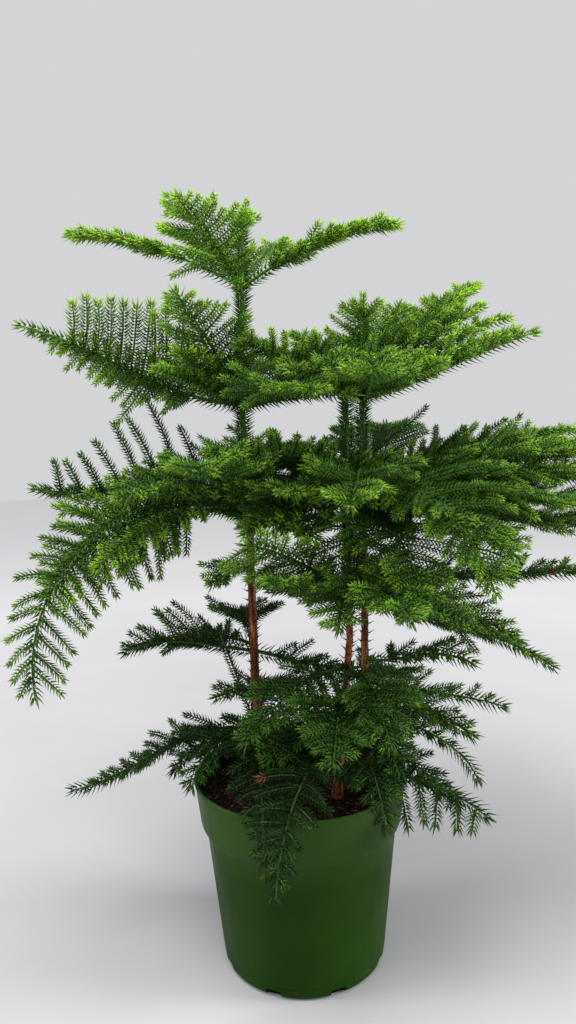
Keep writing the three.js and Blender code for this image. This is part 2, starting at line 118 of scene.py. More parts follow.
def object_noise(tree, scale, detail, stretch=(1, 1, 1)):
    """A noise pattern. A small number in the stretch draws its grain out along that axis."""
    place = add(tree, "Mapping", "Vector", {"Vector": object_place(tree), "Scale": stretch})
    return add(tree, "TexNoise", "Fac", {"Vector": place, "Scale": scale, "Detail": detail})


def ramp(tree, source, stops):
    """Turns a pattern's value into colours: stops are pairs of place and colour."""
    output = add(tree, "ValToRGB", "Color", {"Fac": source})
    elements = output.node.color_ramp.elements
    while len(elements) < len(stops):
        elements.new(0.5)
    for element, (place, value) in zip(elements, stops):
        element.position = place
        element.color = value
    return output


def mixed(tree, share, first, second, blend="MIX"):
    """Two colours mixed by the share of the second."""
    return add(tree, "Mix", "Result", {"Factor": share, "A": first, "B": second},
               data_type="RGBA", blend_type=blend)


def math_node(tree, operation, first, second):
    return add(tree, "Math", "Value", {0: first, 1: second}, operation=operation)


print("pattern tools ready")

# %% [markdown]
# Most finishes here need one noise only: it mottles the base colour, and on a rough surface it gives
# the relief too. The pot and the stems start from the same plain material and get a tree of their
# own.
# %% Materials
def node_material(name, base, roughness, gloss):
    """A material, the node tree to build a pattern in, and its shader."""
    material = bpy.data.materials.new(name)
    material.use_nodes = True
    shader = material.node_tree.nodes["Principled BSDF"]
    shader.inputs["Base Color"].default_value = base
    shader.inputs["Roughness"].default_value = roughness
    shader.inputs["Specular IOR Level"].default_value = gloss
    return material, material.node_tree, shader


def bump(tree, shader, pattern, strength, depth):
    relief = {"Height": pattern, "Strength": strength, "Distance": depth}
    tree.links.new(add(tree, "Bump", "Normal", relief), shader.inputs["Normal"])


def mottled(name, base, finish, noise, stops, relief=None):
    """A material of one noise: finish is roughness and gloss, relief a bump's strength and depth."""
    material, tree, shader = node_material(name, base, *finish)
    pattern = object_noise(tree, *noise)
    tree.links.new(ramp(tree, pattern, stops), shader.inputs["Base Color"])
    if relief:
        bump(tree, shader, pattern, *relief)
    return material


print("material tools ready")

# %% [markdown]
# The floor is one wide disc, as plain as paper. Its far part glows a little, more and more with the
# distance from the middle, so that it runs into the backdrop without an edge.
# %% Floor
FLOOR_RADIUS = 6.0
FLOOR_SIDES = 96
FLOOR_GLOW = 0.34
GLOW_FROM = 0.10
GLOW_FULL = 0.34


def deselect_all():
    bpy.ops.object.select_all(action="DESELECT")


def axis_distance(tree):
    """How far a point of the piece is from the upright axis through the middle of the pot."""
    flat = add(tree, "VectorMath", "Vector", {0: object_place(tree), 1: (1, 1, 0)}, operation="MULTIPLY")
    return add(tree, "VectorMath", "Value", {0: flat}, operation="LENGTH")


deselect_all()
bpy.ops.mesh.primitive_circle_add(vertices=FLOOR_SIDES, radius=FLOOR_RADIUS, fill_type="NGON")
floor = bpy.context.object
floor.name = "floor"
floor_material = mottled("pale floor", colour(192, 191, 194), (0.75, 0.2), (3.0, 3.0),
                         [(0.3, colour(190, 189, 192)), (0.7, colour(197, 196, 198))])
tree = floor_material.node_tree
shader = tree.nodes["Principled BSDF"]
outwards = math_node(tree, "DIVIDE", axis_distance(tree), FLOOR_RADIUS)
glow = ramp(tree, outwards, [(GLOW_FROM, grey(0)), (GLOW_FULL, grey(1))])
tree.links.new(glow, shader.inputs["Emission Color"])
shader.inputs["Emission Strength"].default_value = FLOOR_GLOW
floor.data.materials.append(floor_material)
print("floor", FLOOR_RADIUS, "m in radius")

# %% [markdown]
# The camera sees a brighter sky than the one that lights the plant, which keeps the backdrop pale
# and the shade inside the crown deep. The wide lamp above makes each tier bright on top and dark
# towards the stem. Two soft lamps at the sides, raised so that they don't burn pale pools into the
# floor, light the outline, and a weak one at the front fills in. The Standard view transform keeps
# the greens as saturated as they are set.
# %% Sky and lamps
BACKDROP = (0.66, 0.66, 0.68, 1.0)
SKYLIGHT = (0.40, 0.40, 0.41, 1.0)
LAMPS = {
    "top_lamp": ((-0.3, -0.6, 2.5), (0, 0, 0.6), 1.5, 50),
    "front_lamp": ((0.5, -2.4, 1.3), (0, 0, 0.5), 1.2, 8),
    "left_lamp": ((-3.2, -0.4, 1.3), (0, 0, 0.3), 1.2, 52),
    "right_lamp": ((3.2, -0.4, 1.3), (0, 0, 0.3), 1.2, 86),
}
world = bpy.data.worlds.new("pale sky")
bpy.context.scene.world = world
world.use_nodes = True
tree = world.node_tree
is_seen = add(tree, "LightPath", "Is Camera Ray", {})
tree.links.new(mixed(tree, is_seen, SKYLIGHT, BACKDROP), tree.nodes["Background"].inputs["Color"])

for name, (place, target, size, watts) in LAMPS.items():
    lamp_data = bpy.data.lights.new(name, "AREA")
    lamp_data.shape = "DISK"
    lamp_data.size = size
    lamp_data.energy = watts
    lamp = bpy.data.objects.new(name, lamp_data)
    bpy.context.scene.collection.objects.link(lamp)
    lamp.location = place
    lamp.rotation_euler = (Vector(target) - Vector(place)).to_track_quat("-Z", "Y").to_euler()
bpy.context.scene.view_settings.view_transform = "Standard"
print(len(LAMPS), "lamps with", sum(lamp[-1] for lamp in LAMPS.values()), "watts")

# %% [markdown]
# The pot, the soil and the stems are all built in one way: a filled circle at the foot is extruded
# ring by ring, each ring moved and then scaled about its own middle. Spin would make the pot too,
# but rings keep every size readable, and they let a stem lean. Each finished piece gets its material,
# rides on the plant's one body, and takes the place of its nodes of the solid model.
# %% Tools for pieces
def ringed_piece(name, rings, sides):
    """A closed solid from rings, each of them x and y of its middle, its height and its radius."""
    x, y, height, radius = rings[0]
    deselect_all()
    bpy.ops.mesh.primitive_circle_add(vertices=sides, radius=radius, fill_type="NGON",
                                      location=(0, 0, height))
    piece = bpy.context.object
    piece.name = name
    bpy.ops.object.transform_apply(location=True, rotation=False, scale=False)
    bpy.ops.object.mode_set(mode="EDIT")
    bpy.ops.mesh.select_all(action="SELECT")
    bpy.ops.transform.translate(value=(x, y, 0))
    for old, new in zip(rings, rings[1:]):
        step = tuple(after - before for before, after in zip(old[:3], new[:3]))
        bpy.ops.mesh.extrude_region_move(TRANSFORM_OT_translate={"value": step})
        share = new[3] / old[3]
        bpy.ops.transform.resize(value=(share, share, 1), center_override=new[:3])
    bpy.ops.mesh.select_all(action="SELECT")
    bpy.ops.mesh.normals_make_consistent(inside=False)
    bpy.ops.object.mode_set(mode="OBJECT")
    return piece


def turned_piece(name, outline, sides):
    """A ringed piece round the pot's axis, from an outline of radii and heights."""
    return ringed_piece(name, [(0, 0, height, radius) for radius, height in outline], sides)


def select_only(piece):
    deselect_all()
    piece.select_set(True)
    bpy.context.view_layer.objects.active = piece


def apply_modifiers(piece):
    select_only(piece)
    for modifier in list(piece.modifiers):
        bpy.ops.object.modifier_apply(modifier=modifier.name)


def smooth(piece, degrees):
    select_only(piece)
    bpy.ops.object.shade_smooth_by_angle(angle=math.radians(degrees))
    print(piece.name, len(piece.data.polygons), "faces")


def take_place(piece, material, slot_name, *nodes):
    piece.data.materials.append(material)
    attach(piece, "root")
    if nodes:
        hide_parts(*nodes)


print("piece tools ready")

# %% [markdown]
# The pot is injection-moulded plastic with one even wall: a foot, a slightly conical body, a ledge,
# and a wider collar up to the rim, which makes such pots stack. Its outline runs up the outside,
# over the rim and down the inside.
# %% Pot
POT_SIDES = 96
POT_HEIGHT = 0.245
POT_RIM_RADIUS = 0.135
POT_BAND_RADIUS = 0.128
POT_BAND_FOOT = 0.187
POT_LEDGE_FOOT = 0.178
POT_BODY_RADIUS = 0.121
POT_FOOT_RADIUS = 0.104
POT_FOOT_ROUND = 0.009
POT_WALL = 0.0024
POT_FLOOR = 0.004
RIM_EDGE = 0.0012
DRAIN_HEIGHT = 0.011
foot_inset = POT_FOOT_RADIUS - POT_FOOT_ROUND
foot_round = [
    (foot_inset + POT_FOOT_ROUND * math.cos(turn), POT_FOOT_ROUND + POT_FOOT_ROUND * math.sin(turn))
    for turn in np.radians(np.linspace(-80, -4, 6))
]
outside = [
    (foot_inset, 0.0),
    *foot_round,
    (POT_FOOT_RADIUS + 0.0006, 0.0140),
    (POT_FOOT_RADIUS + 0.0001, 0.0146),
    (POT_FOOT_RADIUS + 0.0003, 0.0160),
    (POT_FOOT_RADIUS + 0.0012, 0.0166),
    (POT_BODY_RADIUS - 0.0002, POT_LEDGE_FOOT - 0.004),
    (POT_BODY_RADIUS + 0.0006, POT_LEDGE_FOOT),
    (POT_BODY_RADIUS + 0.0028, POT_LEDGE_FOOT + 0.0038),
    (POT_BAND_RADIUS - 0.0016, POT_BAND_FOOT - 0.002),
    (POT_BAND_RADIUS - 0.0003, POT_BAND_FOOT + 0.001),
    (POT_BAND_RADIUS + 0.0004, POT_BAND_FOOT + 0.0045),
    (POT_RIM_RADIUS - 0.0012, POT_HEIGHT - 0.0062),
    (POT_RIM_RADIUS - 0.0002, POT_HEIGHT - 0.0054),
    (POT_RIM_RADIUS, POT_HEIGHT - 0.0040),
    (POT_RIM_RADIUS, POT_HEIGHT - RIM_EDGE),
    (POT_RIM_RADIUS - 0.0005, POT_HEIGHT - 0.0003),
    (POT_RIM_RADIUS - RIM_EDGE, POT_HEIGHT),
]
inside = [
    (POT_RIM_RADIUS - RIM_EDGE - POT_WALL + 0.0006, POT_HEIGHT),
    (POT_RIM_RADIUS - RIM_EDGE - POT_WALL, POT_HEIGHT - 0.0006),
    (POT_BAND_RADIUS - POT_WALL, POT_BAND_FOOT),
    (POT_BODY_RADIUS - POT_WALL, POT_LEDGE_FOOT),
    (POT_FOOT_RADIUS - POT_WALL - 0.006, POT_FLOOR + DRAIN_HEIGHT),
    (POT_FOOT_RADIUS - POT_WALL - 0.012, POT_FLOOR),
]
pot = turned_piece("pot_shell", outside + inside, POT_SIDES)
print("pot turned from", len(outside + inside), "rings")

# %% [markdown]
# Water drains through eight gaps round the foot, where the mould has blocks. The same blocks cut
# them here: a cube is set at each gap, its corners are rounded, and a boolean takes it away.
# %% Drain gaps
DRAIN_COUNT = 8
DRAIN_WIDTH = 0.020
DRAIN_DEPTH = 0.009
DRAIN_BEVEL = 0.003
drain_cutters = []
for i in range(DRAIN_COUNT):
    turn = math.radians(360 / DRAIN_COUNT * (i + 0.5))
    place = (POT_FOOT_RADIUS * math.cos(turn), POT_FOOT_RADIUS * math.sin(turn), 0)
    deselect_all()
    bpy.ops.mesh.primitive_cube_add(size=1, location=place, rotation=(0, 0, turn))
    cutter = bpy.context.object
    cutter.scale = (2 * DRAIN_DEPTH, DRAIN_WIDTH, 2 * DRAIN_HEIGHT)
    bpy.ops.object.transform_apply(location=True, rotation=True, scale=True)
    round_corners = cutter.modifiers.new("round corners", "BEVEL")
    round_corners.width = DRAIN_BEVEL
    round_corners.segments = 3
    apply_modifiers(cutter)
    drain_cutters.append(cutter)
    cut = pot.modifiers.new("drain gap", "BOOLEAN")
    cut.operation = "DIFFERENCE"
    cut.solver = "EXACT"
    cut.object = cutter
apply_modifiers(pot)
for cutter in drain_cutters:
    bpy.data.objects.remove(cutter)
smooth(pot, 32)

# %% [markdown]
# Moulded polypropylene is satin, and never quite one colour. A wide noise shifts the green, the
# collar is painted a little paler, partly as wear from handling and partly as painted light where it
# is less in shade than the body, a finer noise changes the roughness as scuffs do, and a very fine
# one is the moulded grain, as bump only. Inside, the wall is painted dark as shade: a ramp gives the
# radius of the wall's middle at each height, and what lies nearer to the axis than that takes the
# painted shade colour.
# %% Pot plastic
WALL_MIDDLE = [
    (POT_FOOT_RADIUS - POT_WALL - 0.004, 0.0),
    (POT_BODY_RADIUS - POT_WALL / 2, POT_LEDGE_FOOT),
    (POT_BAND_RADIUS - POT_WALL / 2, POT_BAND_FOOT),
    (POT_RIM_RADIUS - RIM_EDGE - POT_WALL / 2, POT_HEIGHT),
]


def object_height(tree):
    return add(tree, "SeparateXYZ", "Z", {"Vector": object_place(tree)})


pot_material, tree, shader = node_material("moulded green plastic", colour(27, 58, 6), 0.42, 0.06)
greens = ramp(tree, object_noise(tree, 9.0, 4.0), [
    (0.30, colour(23, 50, 4)),
    (0.55, colour(28, 58, 6)),
    (0.78, colour(34, 65, 10)),
])
level = math_node(tree, "DIVIDE", object_height(tree), POT_HEIGHT)
# The collar is painted paler: partly wear from handling, partly painted light where it is less in shade.
collar_wear_and_light = ramp(tree, level, [(0.60, grey(0)), (0.80, grey(0.12))])
greens_worn_and_lit = mixed(tree, collar_wear_and_light, greens, colour(96, 122, 70))
wall_middle = ramp(tree, level, [(height / POT_HEIGHT, grey(radius)) for radius, height in WALL_MIDDLE])
# Inside the wall the plastic is painted dark as shade.
painted_shade_in_pot = math_node(tree, "LESS_THAN", axis_distance(tree), wall_middle)
tree.links.new(mixed(tree, painted_shade_in_pot, greens_worn_and_lit, colour(15, 24, 12)), shader.inputs["Base Color"])
scuffs = object_noise(tree, 60.0, 5.0, (1, 1, 0.25))
tree.links.new(ramp(tree, scuffs, [(0.35, grey(0.36)), (0.7, grey(0.55))]), shader.inputs["Roughness"])
bump(tree, shader, object_noise(tree, 900.0, 2.0), 0.15, 0.0002)
take_place(pot, pot_material, "pot", "pot")
print(pot_material.name, "of", len(tree.nodes), "nodes")

# %% [markdown]
# The soil is damp potting mix, uneven where it was firmed round the stems. Its body is a closed
# solid that stands inside the pot, and only the top shows. The top is inset ring by ring for points
# to move, and two displace modifiers with noise textures then raise the lumps and the crumbs.
# %% Soil body
SOIL_LEVEL = 0.220
SOIL_RINGS = 34
SOIL_SIDES = 128
SOIL_EDGE = 0.004
FLAT_TOP = SOIL_LEVEL - 0.0015
RELIEFS = {"lumps": (0.035, 0.007), "crumbs": (0.006, 0.0035)}
soil_top_radius = POT_BAND_RADIUS - POT_WALL + (POT_RIM_RADIUS - POT_BAND_RADIUS) * 0.5
flat_radius = soil_top_radius - 0.0010
soil_outline = [
    (POT_FOOT_RADIUS - POT_WALL - 0.0132, POT_FLOOR + 0.0004),
    (POT_FOOT_RADIUS - POT_WALL - 0.0072, POT_FLOOR + DRAIN_HEIGHT),
    (POT_BODY_RADIUS - POT_WALL - 0.0008, POT_LEDGE_FOOT),
    (POT_BAND_RADIUS - POT_WALL - 0.0012, POT_BAND_FOOT),
]
soil_outline += [(flat_radius * (1 - k / SOIL_RINGS), FLAT_TOP) for k in range(SOIL_RINGS)]
soil = turned_piece("potting_soil", soil_outline, SOIL_SIDES)
top_group = soil.vertex_groups.new(name="top")
for vertex in soil.data.vertices:
    radius = math.hypot(vertex.co.x, vertex.co.y)
    if vertex.co.z > SOIL_LEVEL - 0.002:
        top_group.add([vertex.index], min(1.0, (soil_top_radius - radius) / SOIL_EDGE), "REPLACE")
for name, (size, strength) in RELIEFS.items():
    texture = bpy.data.textures.new(name, "CLOUDS")
    texture.noise_scale = size
    texture.noise_depth = 3
    lift = soil.modifiers.new(name, "DISPLACE")
    lift.texture = texture
    lift.texture_coords = "LOCAL"
    lift.direction = "Z"
    lift.mid_level = 0.45
    lift.strength = strength
    lift.vertex_group = "top"
apply_modifiers(soil)
smooth(soil, 50)
soil_material = mottled("damp potting mix", colour(30, 22, 18), (0.95, 0.15), (130.0, 6.0), [
    (0.32, colour(9, 7, 5)),
    (0.55, colour(24, 17, 12)),
    (0.75, colour(46, 30, 20)),
], (0.8, 0.002))
take_place(soil, soil_material, "soil", "soil")

# %% [markdown]
# Joined meshes are written straight from arrays: all the corners in one, and in another all the
# faces, as triangles that name their corners. This is many times faster than adding tens of
# thousands of objects and joining them, and it gives the same mesh.
# %% Meshes from arrays
def mesh_piece(name, corners, triangles, material, slot_name, nodes=()):
    """A smooth-shaded piece made of triangles."""
    mesh = bpy.data.meshes.new(name)
    mesh.vertices.add(len(corners))
    mesh.vertices.foreach_set("co", np.asarray(corners, np.float32).ravel())
    mesh.loops.add(len(triangles) * 3)
    mesh.loops.foreach_set("vertex_index", np.asarray(triangles, np.int32).ravel())
    mesh.polygons.add(len(triangles))
    mesh.polygons.foreach_set("loop_start", np.arange(0, len(triangles) * 3, 3, dtype=np.int32))
    mesh.polygons.foreach_set("use_smooth", np.ones(len(triangles), bool))
    mesh.update(calc_edges=True)
    piece = bpy.data.objects.new(name, mesh)
    bpy.context.scene.collection.objects.link(piece)
    take_place(piece, material, slot_name, *nodes)
    print(name, len(triangles), "triangles")


def unit(vectors):
    return vectors / np.linalg.norm(vectors, axis=-1, keepdims=True)


def interpolated(places, marks, values):
    """Vectors that are known at marks along a line, read off at other places along it."""
    return np.stack([np.interp(places, marks, values[:, k]) for k in range(3)], 1)


def tube(points, radii, upward, sides):
    """A closed tube along a line: its corners, and its triangles with their faces outwards."""
    forward = unit(np.gradient(points, axis=0))
    side = unit(np.cross(forward, upward))
    over = np.cross(side, forward)
    turns = np.arange(sides) * 2 * np.pi / sides
    rings = points[:, None] + radii[:, None, None] * (
        np.cos(turns)[None, :, None] * side[:, None] + np.sin(turns)[None, :, None] * over[:, None]
    )
    count = len(points)
    first = (np.arange(count - 1) * sides)[:, None]
    a = (first + np.arange(sides)).ravel()
    b = (first + (np.arange(sides) + 1) % sides).ravel()
    walls = np.vstack([np.stack([a, a + sides, b], 1), np.stack([b, a + sides, b + sides], 1)])
    last = (count - 1) * sides
    ring = np.arange(sides)
    beyond = (ring + 1) % sides
    root, tip = count * sides, count * sides + 1
    caps = np.vstack([
        np.stack([np.full(sides, root), ring, beyond], 1),
        np.stack([np.full(sides, tip), last + beyond, last + ring], 1),
    ])
    corners = np.vstack([rings.reshape(-1, 3), points[:1], points[-1:] + forward[-1:] * radii[-1]])
    return corners, np.vstack([walls, caps])


def joined(parts):
    """Several meshes as one: each part's triangles count on from the corners before it."""
    starts = np.cumsum([0] + [len(corners) for corners, _ in parts])
    corners = np.vstack([corners for corners, _ in parts])
    triangles = np.vstack([faces + start for (_, faces), start in zip(parts, starts)])
    return corners, triangles


print("array tools ready")

# %% [markdown]
# The crown grows by the solid model's own rule. Each row of the table is one flat spray: its name,
# the height at which it leaves its stem, its heading, its length, how steeply it rises at its foot,
# middle and tip, and how far its longest side shoots reach, in millimetres and degrees. The stem is
# the first word of the name. The options say how much of the foot is bare, how the flat spray is
# banked, how far its shoots lift, how loosely they lie, and how wide they open, the share of their
# reach on either hand and at the tip, how they fold forward, how far they stand apart, how much
# longer their needles are, and how much lighter or darker than its tier the spray is painted, as
# painted light and shade. A stem is given by x, y, height and radius at a few heights, in metres.
# %% Table of stems and sprays
STEMS = {
    "tall": [(-0.057, 0.065, SOIL_LEVEL, 0.007), (-0.057, 0.066, 0.570, 0.0044),
             (-0.062, 0.068, 0.720, 0.0036), (-0.053, 0.068, 0.930, 0.0020)],
    "front": [(0.046, -0.023, SOIL_LEVEL, 0.0054), (0.066, -0.015, 0.420, 0.0042),
              (0.068, -0.008, 0.600, 0.0032), (0.068, 0.0, 0.735, 0.0020)],
    "right": [(0.088, 0.060, SOIL_LEVEL, 0.0058), (0.092, 0.062, 0.440, 0.0046),
              (0.093, 0.064, 0.720, 0.0034), (0.097, 0.066, 0.815, 0.0022)],
}


def spray(name, height, heading, length, rises, reach, bare=0.2, bank=0, lift=15, loose=9,
          opening=62, sides=(1, 1), tail=0.12, fold=0, apart=1.0, needles=1.0, rib=True, tone=0.0):
    return dict(name=name, stem=name.split("_")[0], height=height / 1000, heading=math.radians(heading),
                length=length / 1000, rises=rises, reach=reach / 1000, bare=bare,
                bank=math.radians(bank), lift=math.radians(lift), loose=math.radians(loose),
                opening=opening, sides=sides, tail=tail, fold=fold, apart=apart, needles=needles,
                rib=rib, tone=tone)


# A spray's tone paints it lighter or darker than its tier, as painted light and shade.
SPRAYS = [
    spray("tall_1_left", 858, 181, 230, (32, 18, 2), 30, bare=0.34, loose=14, opening=44, tail=0.5,
          apart=0.55, needles=1.3),
    spray("tall_1_front_left", 852, 255, 220, (25, 19, 12), 66, bare=0.15, bank=-10, loose=15, apart=0.88),
    spray("tall_1_right", 858, 332, 220, (27, 15, -7), 29, loose=14, opening=44, tail=0.4, apart=0.55,
          needles=1.3),
    spray("tall_1_back", 864, 115, 185, (34, 24, 14), 45),
    spray("tall_1_back_right", 866, 66, 160, (36, 26, 12), 24, bare=0.62),
    spray("tall_2_left", 711, 183, 300, (4, 27, 14), 97, bank=-35, lift=25, loose=3, opening=82,
          sides=(1, 0.3), needles=1.25),
    spray("tall_2_front_left", 718, 251, 212, (35, 34, 26), 66),
    spray("tall_2_front_right", 710, 292, 240, (10, 3, -4), 80, tone=-0.12),
    spray("tall_2_right", 718, 338, 250, (18, 10, 3), 85),
    spray("tall_2_back", 724, 85, 220, (22, 14, 4), 75, lift=0),
    spray("tall_3_left", 568, 199, 275, (34, 4, 14), 110, bare=0.24, bank=-35, lift=30, loose=8, opening=72,
          apart=1.6, tone=-0.16),
    spray("tall_3_arch", 559, 216, 436, (36, -30, -98), 80, bare=0.22, bank=58, lift=0, opening=92,
          sides=(0.64, 1), tail=0.5, fold=55, apart=1.3),
    spray("tall_3_front", 570, 258, 250, (32, 18, 5), 85),
    spray("tall_3_right", 562, 322, 235, (18, 8, -4), 85, apart=0.85),
    spray("tall_3_back", 574, 100, 230, (30, 16, 4), 85, tone=-0.1),
    spray("tall_4_left", 500, 208, 64, (0, -18, -36), 55, bare=0.1, lift=6, opening=74, tone=0.06),
    spray("tall_5_left", 384, 184, 176, (6, 8, -28), 62, bank=-40, lift=25, apart=0.85),
    spray("tall_5_right", 384, 345, 128, (-12, -10, -8), 45),
    spray("tall_5_back", 400, 100, 170, (15, -2, -20), 65, tone=-0.1),
    spray("tall_6_left", 328, 232, 80, (20, 10, 0), 30, apart=1.2),
    spray("tall_7_left", 272, 186, 266, (22, -26, -6), 42, apart=1.05),
    spray("tall_7_front", 290, 274, 275, (14, -12, -80), 52, loose=20, opening=70, tone=-0.26),
    spray("right_1_right", 714, 345, 226, (10, 23, 12), 50, tone=0.06),
    spray("right_1_back_right", 729, 39, 275, (37, 33, 18), 60, tone=0.08),
    spray("right_1_far_right", 720, 14, 231, (25, 28, 10), 50, tone=0.06),
    spray("right_1_front", 716, 268, 246, (8, 6, 4), 70, tone=-0.12),
    spray("right_1_back", 731, 125, 160, (36, 28, 20), 60),
    spray("right_1_left", 724, 212, 190, (26, 18, 6), 76),
    spray("right_2_right", 590, 345, 340, (14, 6, 4), 85, bank=-25, lift=15, apart=0.85, tone=0.1),
    spray("right_2_front_right", 612, 300, 285, (6, -22, -66), 95, apart=0.75),
    spray("right_2_left", 597, 215, 240, (26, 15, 4), 90),
    spray("right_2_front", 606, 262, 240, (18, -1, -20), 80),
    spray("right_2_back", 600, 75, 240, (30, 18, 6), 85, tone=-0.1),
    spray("right_3_right", 490, 352, 338, (-14, 4, -6), 60, apart=1.3),
    spray("right_3_lower", 446, 343, 252, (-14, -13, -34), 60, sides=(1, 0.45), apart=1.2, tone=0.08),
    spray("right_4_front_right", 370, 317, 170, (0, 18, -20), 52, apart=1.3, tone=0.06),
    spray("right_4_right", 350, 345, 186, (-24, -6, -15), 50, sides=(0.35, 0.8), apart=1.4, tone=0.08),
    spray("right_5_right", 312, 335, 182, (-30, -20, -70), 40, sides=(0.6, 0.8), tail=-0.4, apart=1.3),
    spray("right_6_front_right", 254, 306, 175, (6, -6, -34), 48, sides=(1, 0.55), tail=0.3, apart=1.1),
    spray("front_1_left", 490, 229, 196, (18, 26, 12), 62, bank=-48, lift=4, sides=(1, 0.5), tail=0.6,
          apart=0.85, tone=0.1),
    spray("front_1_front", 482, 285, 200, (22, 2, -16), 66, tone=0.06),
    spray("front_2_left", 386, 222, 180, (6, -17, -40), 60, tone=-0.02),
    spray("front_3_front", 350, 262, 180, (15, -5, -25), 65, tone=-0.02),
    spray("front_3_right", 354, 330, 170, (10, -10, -30), 50),
    spray("front_4_front_left", 298, 247, 262, (8, -18, -88), 50, loose=20, opening=70, tone=-0.24),
    spray("front_4_front", 311, 282, 190, (17, -14, -60), 50, loose=14, tone=-0.2),
]
print(len(SPRAYS), "named sprays on", len(STEMS), "stems")

# %% [markdown]
# Where the photograph shows foliage without a midrib of its own, finer sprays of the same tiers fill
# it. They are listed in the same way, and are named for their tier only. A few have no midrib drawn,
# because they thicken a named spray with more shoots.
# %% Finer sprays
FILLERS = [
    spray("tall_2", 711, 183, 252, (4, 25, 24), 96, bare=0.26, bank=-35, lift=25, loose=3, opening=82,
          sides=(0, 1), tail=0.5, apart=1.1, needles=1.65, rib=False),
    spray("tall_2", 712, 242, 150, (30, 24, 16), 52),
    spray("tall_2", 706, 226, 145, (26, 20, 10), 50, bare=0.1),
    spray("tall_2", 706, 316, 190, (12, 4, -6), 65, bare=0.1, tone=-0.1),
    spray("tall_2", 711, 183, 300, (4, 27, 14), 27, bare=0.25, lift=-52, opening=70, tail=0.2, rib=False),
    spray("right_1", 724, 26, 225, (35, 31, 18), 60, tone=0.05),
    spray("right_1", 722, 60, 180, (50, 44, 32), 60),
    spray("right_1", 728, 92, 142, (36, 60, 48), 55),
    spray("right_1", 729, 39, 275, (37, 33, 18), 60, lift=18, rib=False, tone=0.06),
    spray("right_1", 717, 0, 215, (16, 24, 14), 55),
    spray("right_1", 716, 305, 150, (12, 16, 10), 55, tone=-0.05),
    spray("right_1", 716, 240, 190, (14, 10, 2), 65, tone=-0.1),
    spray("tall_3", 570, 232, 230, (30, 10, -6), 70),
    spray("tall_3", 560, 212, 300, (36, -16, -44), 85, bare=0.34, bank=25, lift=-8, tone=0.16),
    spray("tall_3", 560, 217, 345, (37, -19, -62), 60, bare=0.48, bank=45, lift=0, opening=78, apart=0.9,
          rib=False, tone=0.14),
    spray("tall_3", 572, 203, 262, (28, 2, -14), 50, bare=0.4, bank=32, lift=2, apart=0.85, rib=False,
          tone=0.14),
    spray("tall_3", 562, 226, 250, (26, -8, -36), 70, bare=0.34, lift=-6, tone=0.16),
    spray("tall_3", 576, 344, 240, (28, 14, 0), 80, apart=0.85),
    spray("tall_3", 558, 300, 170, (12, 0, -16), 70, apart=0.85),
    spray("tall_3", 572, 290, 200, (26, 12, 0), 75, tone=0.04),
    spray("right_2", 606, 200, 210, (24, 8, -4), 70),
    spray("right_2", 606, 8, 330, (18, 5, -2), 85, lift=12, apart=0.85, tone=0.1),
    spray("right_2", 600, 352, 345, (15, 7, 4), 78, lift=12, apart=0.85, tone=0.1),
    spray("right_2", 590, 0, 335, (8, 2, -4), 85, lift=15),
    spray("right_2", 584, 338, 345, (4, 0, -8), 90, lift=8, apart=0.8, tone=0.1),
    spray("right_2", 574, 346, 350, (0, -5, -8), 85, lift=4),
    spray("right_2", 580, 282, 250, (0, -20, -50), 90, apart=0.85, tone=-0.04),
    spray("right_2", 575, 262, 200, (-5, -24, -46), 80),
    spray("right_2", 584, 224, 210, (8, -6, -16), 70),
    spray("right_2", 590, 312, 245, (2, -12, -38), 95, apart=0.75),
    spray("right_3", 478, 325, 220, (-10, -12, -30), 62, tone=0.06),
    spray("right_2", 606, 16, 330, (18, 9, 7), 75, tone=0.06),
    spray("front_1", 474, 236, 180, (8, 20, 14), 55, lift=4, tone=0.05),
    spray("front_1", 482, 262, 160, (12, -2, -20), 60),
    spray("front_1", 476, 316, 180, (8, -4, -20), 62),
    spray("right_4", 340, 285, 130, (-6, -18, -34), 50),
    spray("front_2", 385, 285, 160, (10, -18, -50), 58),
    spray("front_4", 252, 331, 195, (9, -2, -36), 56, lift=-40, sides=(1, 0.4), tail=0.3, apart=1.6,
          needles=1.3, tone=0.08),
    spray("front_3", 330, 225, 140, (12, -10, -35), 58),
    spray("front_3", 335, 292, 150, (18, -12, -50), 55, loose=14, tone=-0.12),
    spray("tall_5", 345, 318, 120, (4, -10, -20), 48),
    spray("tall_7", 270, 241, 168, (18, 2, -62), 58, tone=-0.12),
    spray("tall_7", 256, 210, 135, (22, 0, -60), 48, tone=-0.1),
    spray("tall_7", 284, 300, 150, (18, -4, -30), 55),
    spray("tall_5", 392, 142, 140, (8, -8, -24), 55, tone=-0.08),
    spray("tall_7", 290, 80, 150, (16, 0, -30), 55),
    spray("right_3", 476, 66, 190, (-2, -14, -26), 66, tone=-0.08),
    spray("right_3", 470, 112, 160, (-6, -14, -24), 60, tone=-0.08),
    spray("right_4", 340, 62, 150, (-8, -14, -30), 58),
    spray("right_6", 285, 20, 130, (10, -10, -40), 50),
    spray("right_6", 285, 84, 150, (10, -10, -40), 55),
]
print(len(FILLERS), "finer sprays")

# %% [markdown]
# In the fullest tiers wide gaps remain at the back. They are filled with shorter sprays, each worked
# out between two neighbours and a little lower, so that the crown is full from all sides.
# %% Sprays between neighbours
FULL_TIERS = ("tall_2", "tall_3", "right_1", "right_2")
WIDE_GAP = math.radians(62)
ROUND_UP = 0.35
BETWEEN_LIFT = 2
BETWEEN_LOWER = 0.006
BETWEEN_LONGEST = 0.2
BETWEEN_LENGTH = 0.74
BETWEEN_REACH = 0.86


def tier_of(row):
    return "_".join(row["name"].split("_")[:2])


